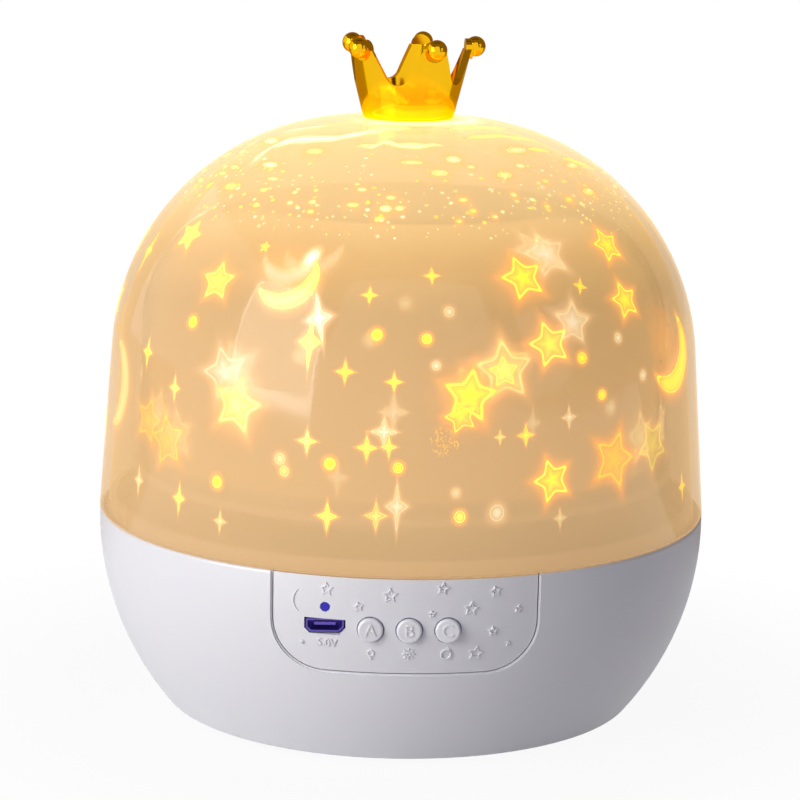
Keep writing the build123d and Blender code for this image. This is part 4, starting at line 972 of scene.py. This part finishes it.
# %% Ribbons of light on the dome's top
across = [
    (-1.9, 0.0), (-1.25, 0.35), (-0.9, 0.95), (-0.45, 1.6), (0, 2), (0.45, 1.6), (0.9, 0.95),
    (1.25, 0.35), (1.9, 0.0),
]
ribbons = [
    (1, 0.2, [
        (-100, 12, 2.2), (-60, 12.4, 2.4), (-28, 13.4, 3.2), (0, 12.8, 2.8), (30, 13, 3),
        (55, 13.5, 3), (75, 14, 2.6), (95, 13, 2.4), (140, 12.5, 2.4), (200, 12.5, 2.4),
        (260, 12, 2.2),
    ]),
    (1, 0.15, [
        (-54.5, 39.5, 0.8), (-57, 37.2, 2.2), (-60.5, 33.8, 2.6), (-59, 30.6, 2.2),
        (-51, 28.2, 1.8), (-37, 26.6, 1.5), (-28, 23.6, 1.7), (-21, 20.6, 2.2), (-8, 20, 1.4),
    ]),
    (0.55, 0, [(-76, 28.6, 0.4), (-70, 25, 0.8), (-62, 22, 0.8), (-54, 20, 0.4)]),
    (1, 0.45, [
        (-26, 30, 0.3), (-20, 28.6, 0.8), (-15, 28.8, 0.9), (-11.5, 26.4, 1), (-4, 28, 0.9),
        (3, 28.4, 0.9), (10, 27.4, 0.7), (18, 28.6, 0.3),
    ]),
    (1, 0.75, [
        (24, 24.6, 0.3), (36, 24.2, 0.9), (48, 24.4, 0.9), (60, 26.8, 0.8), (70, 30.2, 0.3),
    ]),
    (1, 0.55, [
        (-30, 19.6, 0.4), (-22, 18.2, 1.5), (-12, 18.6, 1.8), (-4, 17.4, 1.2), (4, 18.6, 0.4),
    ]),
    (0.9, 0.65, [(20, 19, 0.3), (34, 18.2, 1.2), (50, 18.6, 1.3), (64, 20.4, 0.9), (76, 23, 0.3)]),
    (0.9, 0.85, [(62, 35, 0.3), (68, 36.6, 0.9), (73, 38.6, 0.9), (77, 41, 0.3)]),
    (0.9, 0.85, [(50, 31, 0.3), (57, 31.6, 0.8), (63, 33.2, 0.3)]),
    (0.7, 0.7, [(-74, 36, 0.3), (-78, 33, 0.8), (-80, 30, 0.3)]),
    (0.9, 0.3, [
        (116, 36, 0.4), (124, 31, 1.2), (136, 27.5, 1.2), (150, 26, 0.9), (166, 27.5, 0.8),
        (182, 26, 0.4),
    ]),
]
top_skin = outer_skin("dome_cover")
crown_edge, ribbon_lift = 9.8, 0.06
degrees_a_step, mm_a_step = 2.5, 0.8


def top_point(azimuth, radius):
    """The dome's surface point and normal at an azimuth and a distance from the axis."""
    turn = math.radians(azimuth)
    start = Vector((radius * MM * math.sin(turn), -radius * MM * math.cos(turn), 0.3))
    return top_skin.ray_cast(start, Vector((0, 0, -1)))[:2]


def eased(stations):
    """More stations between the given ones, so that the ribbon swings from one to the next."""
    fine = []
    for (a0, r0, w0), (a1, r1, w1) in zip(stations, stations[1:]):
        steps = max(2, int(abs(a1 - a0) / degrees_a_step), int(abs(r1 - r0) / mm_a_step))
        for k in range(steps):
            t = k / steps
            ease = t * t * (3 - 2 * t)
            fine.append((a0 + (a1 - a0) * t, r0 + (r1 - r0) * ease, w0 + (w1 - w0) * ease))
    return fine + [stations[-1]]


vertices, faces, values = [], [], {"glow": [], "gain": [], "warm": []}
for gain, warm, stations in ribbons:
    fine = eased(stations)
    first, steps = len(vertices), len(fine) - 1
    for k, (azimuth, radius, half_width) in enumerate(fine):
        fade = min(1, 5 * k / len(fine), 5 * (steps - k) / len(fine))
        for offset, glow in across:
            spot, normal = top_point(azimuth, max(crown_edge, radius - offset * half_width))
            vertices.append(spot + ribbon_lift * MM * normal)
            for key, value in (("glow", glow * fade), ("gain", gain), ("warm", warm)):
                values[key].append(value)
    faces += [face[::-1] for face in strip_faces(steps, len(across), first)]
hot_mesh = bpy.data.meshes.new("crown_hot_light")
hot_mesh.from_pydata(vertices, [], faces)
for key, numbers in values.items():
    hot_mesh.attributes.new(key, "FLOAT", "POINT").data.foreach_set("value", numbers)
hot_mesh.shade_smooth()
hot_mesh.materials.append(dome_light)
hot_light = put("crown_hot_light", hot_mesh)
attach(hot_light, "dome")
facing_up = sum(face.normal.z > 0 for face in hot_mesh.polygons)
print("hot light:", len(faces), "faces,", facing_up, "of them facing up")

# %% [markdown]
# ## Light caught by the cup
# The cup inside the dome catches the same shapes a little earlier, so each star on the dome has a
# paler twin deeper in, up to one star width away. These turn with the cup.

# %% Shapes on the cup
cup_rows = rows_of([
    (STAR, [
        (19.5, 82.6, 6, 6, 0.85, 1, 8), (-37.5, 79.6, 6, 6, 0, 0.7, 20),
        (34.5, 103.4, 5.6, 5.6, 0, 0.7, 10), (36.5, 90.6, 4.6, 4.6, 0.05, 0.6, -10),
        (59, 64, 5.4, 5.4, 0.5, 0.7, 6), (-64, 66.8, 4.8, 4.8, 0.35, 0.6, -12),
        (-55, 63.9, 5, 5, 0.4, 0.6, 12), (12, 79, 4.4, 4.4, 0.9, 0.8, 24),
    ]),
    (MOON, [(-25, 104, 6.4, 6.4, 0, 0.6, 104)]),
    (DOT, [(-22.5, 84, 1.2, 1.2, 0.2, 0.7), (-8, 88, 1.1, 1.1, 0.3, 0.6)]),
    (SPARKLE, [(-3, 74, 2.6, 3.6, 0.1, 0.8), (-14, 60.5, 2, 3, 0.2, 0.5)]),
    (DOT, [(47, 72, 1.2, 1.2, 0.2, 0.6)]),
    (SPARKLE, [(26, 71, 1.6, 3, 0.2, 0.6)]),
    (DOT, [(-1, 95, 1, 1, 0.2, 0.5)]),
])
rows = cup_rows + [
    (kind, azimuth + turn, *rest)
    for turn in (128, 232) for kind, azimuth, *rest in cup_rows if abs(azimuth) < 56
]
cup_shapes = lay("cup_light_shapes", rows, "projection_cup", kinds, 80, 0.05, film_light)
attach(cup_shapes, "rotor")

# %% [markdown]
# ## Relief on the control panel
# The panel carries raised outlines: a crescent, a dozen stars, a small picture under each button
# and the supply voltage beside the socket. In the mould these are engraved lines, so on the panel
# they stand about 0.2 mm proud with soft edges. Each is drawn as a filled flat curve, made a solid
# mesh, and laid on the panel by the same tree as the light. The drawing's own thickness is kept in
# the attribute lift, which the tree adds.

# %% Drawings with thickness
def solid_drawing(name, curve, rise, sink, edge):
    """Make a filled flat curve a closed solid; its thickness goes into the attribute lift."""
    curve.dimensions, curve.fill_mode = "2D", "BOTH"
    curve.extrude = ((rise + sink) / 2 - edge) * MM
    curve.bevel_depth, curve.bevel_resolution, curve.offset = edge * MM, 1, -edge * MM
    mesh = plain_mesh(put(name, curve))
    form = bmesh.new()
    form.from_mesh(mesh)
    bmesh.ops.remove_doubles(form, verts=form.verts, dist=0.002 * MM)
    bmesh.ops.recalc_face_normals(form, faces=form.faces)
    form.to_mesh(mesh)
    form.free()
    layer = mesh.attributes.new("lift", "FLOAT", "POINT")
    layer.data.foreach_set("value", [v.co.z + (rise - sink) / 2 * MM for v in mesh.vertices])
    return mesh


def lay_drawings(name, drawings, rise, sink, material):
    """Lay drawings on the panel. Each has a name, a curve, the width of its rounded edge, the
    place across and up, and a tilt."""
    shapes, rows = bpy.data.collections.new(name), []
    for kind, (label, curve, edge, x, level, tilt) in enumerate(drawings):
        mesh = solid_drawing(label, curve, rise, sink, edge)
        for vertex in mesh.vertices:
            vertex.co.z = 0
        shapes.objects.link(bpy.data.objects.new(label, mesh))
        azimuth = math.degrees(math.asin(x / PANEL_RADIUS))
        rows.append((kind, azimuth, level, 1 / MM, 1 / MM, 1, 1, tilt))
    return lay(name, rows, "control_panel", shapes, 32, 0.0, material)


def loops_curve(loops):
    """A curve of closed loops in millimetres; a loop inside another cuts a hole."""
    curve = bpy.data.curves.new("loops", "CURVE")
    for loop in loops:
        spline = curve.splines.new("POLY")
        spline.points.add(len(loop) - 1)
        for point, (x, y) in zip(spline.points, loop):
            point.co = (x * MM, y * MM, 0, 1)
        spline.use_cyclic_u = True
    return curve


def text_curve(words, size):
    curve = bpy.data.curves.new("words", "FONT")
    curve.body, curve.size = words, size * MM
    curve.align_x, curve.align_y = "CENTER", "CENTER"
    return curve


def scaled(loop, factor):
    return [(factor * x, factor * y) for x, y in loop]


def arc(radius, first, last, steps, centre=(0, 0)):
    """Points on an arc, both ends included; angles in degrees."""
    turns = [math.radians(first + (last - first) * k / steps) for k in range(steps + 1)]
    return [(centre[0] + radius * math.cos(t), centre[1] + radius * math.sin(t)) for t in turns]


def ring(radius, width, centre=(0, 0)):
    return [arc(radius, 0, 345, 23, centre), arc(radius - width, 0, 345, 23, centre)]


def bar(start, end, width):
    """A straight stroke between two points."""
    a, b = Vector(start), Vector(end)
    side = Vector((a.y - b.y, b.x - a.x)).normalized() * width / 2
    return [(a + side)[:], (a - side)[:], (b - side)[:], (b + side)[:]]


def ray(angle, inner, outer, width):
    """A short stroke that points away from the middle."""
    way = Vector((math.cos(math.radians(angle)), math.sin(math.radians(angle))))
    return bar(inner * way, outer * way, width)


print("panel radius", PANEL_RADIUS, "mm")

# %% [markdown]
# A star's outline is two stars one inside the other. Their corners are sharp, so the gap between
# the two loops is wider there than the stroke, and the inner star is made smaller by 1.55 strokes.

# %% Drawings on the panel
edge, fine_edge = 0.06, 0.02
inset = 1.55 * 0.38
relief_star = star_outline(5, 0.46, 0.12)
relief_rows = [
    (-15.4, 39.9, 1.5, 0), (-3.1, 39.2, 1.65, 0), (-9.2, 36.7, 1.1, 8), (7.1, 40.7, 1.4, -10),
    (12.7, 36.4, 1.65, -6), (17.4, 39.7, 1.3, 10), (22.1, 35.8, 0.95, -8), (5.1, 35.5, 0.85, 6),
    (17.3, 31.5, 1.2, 4), (20.6, 28.5, 0.65, 0), (14.2, 26.9, 1.75, -8), (-20.4, 28.4, 0.55, 0),
]
bulb = ring(0.75, 0.28, (0, 0.35)) + [bar((0, -0.45), (0, -1.2), 0.42)]
sun = ring(0.5, 0.22) + [ray(angle, 0.66, 1.3, 0.27) for angle in range(0, 360, 45)]
turn_arrow = [arc(1.15, 70, 395, 20) + arc(0.83, 395, 70, 20),
              [(0.30, 1.62), (0.95, 1.02), (0.22, 0.52)]]
crescent = [arc(2.5, 118, 242, 16, (1.0, 0)) + arc(2.9, 228, 132, 16, (1.75, 0))]
drawings = []
for k, (x, level, size, tilt) in enumerate(relief_rows):
    star = loops_curve([scaled(relief_star, size), scaled(relief_star, size - inset)])
    drawings.append(("r%02d_star" % k, star, edge, x, level, tilt))
drawings += [
    ("r12_crescent", loops_curve(crescent), edge, -20.7, 37.1, 0),
    ("r13_bulb", loops_curve(bulb), edge, -6.8, 26.7, 0),
    ("r14_sun", loops_curve(sun), edge, 0.7, 27.0, 0),
    ("r15_turn", loops_curve(turn_arrow), edge, 8.2, 26.9, 0),
    ("r16_volts", text_curve("5.0V", 2.3), fine_edge, -15.5, 28.7, 0),
]
relief = lay_drawings("panel_relief", drawings, 0.24, 0.12, paints["shell_white"])
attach(relief, "base")

# %% [markdown]
# ## The caps
# The gap between a cap and its hole is too narrow to go dark by itself, so a thin dark ring on the
# panel paints the shade in it. The letters stand proud of the caps and ride on them.

# %% Shadow lines round the caps
cap_radius, gap, gap_line = 2.5, 0.26, 0.24
caps = {letter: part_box("button_" + letter) for letter in "abc"}
drawings = []
for letter, (low, high) in caps.items():
    middle = (low + high) / 2 / MM
    # Each ring is painted shade: a dark line where the gap round the cap lies in shadow.
    gap_ring = loops_curve(ring(cap_radius + gap, gap_line))
    drawings.append(("gap_" + letter, gap_ring, 0.005, middle.x, middle.z, 0))
    print("cap", letter, "at", [round(v, 1) for v in middle])
gap_rings = lay_drawings("gap_rings", drawings, 0.03, 0.02, paints["gap_shade"])
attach(gap_rings, "base")

# %% Letters on the caps
for letter, (low, high) in caps.items():
    mesh = solid_drawing("letter_" + letter, text_curve(letter.upper(), 3.5), 0.26, 0.15, 0.04)
    to_front = Matrix.Translation(((low.x + high.x) / 2, low.y, (low.z + high.z) / 2))
    mesh.transform(to_front @ Matrix.Rotation(math.pi / 2, 4, "X"))
    mesh.materials.append(paints["shell_white"])
    piece = put("letter_" + letter, mesh)
    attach(piece, "button_" + letter)
    print("cap", letter, "front at y", round(low.y / MM, 2), "mm")

# %% Size of what was made, and the end
low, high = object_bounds()
print("visual model", [round(1000 * (b - a), 2) for a, b in zip(low, high)], "mm")
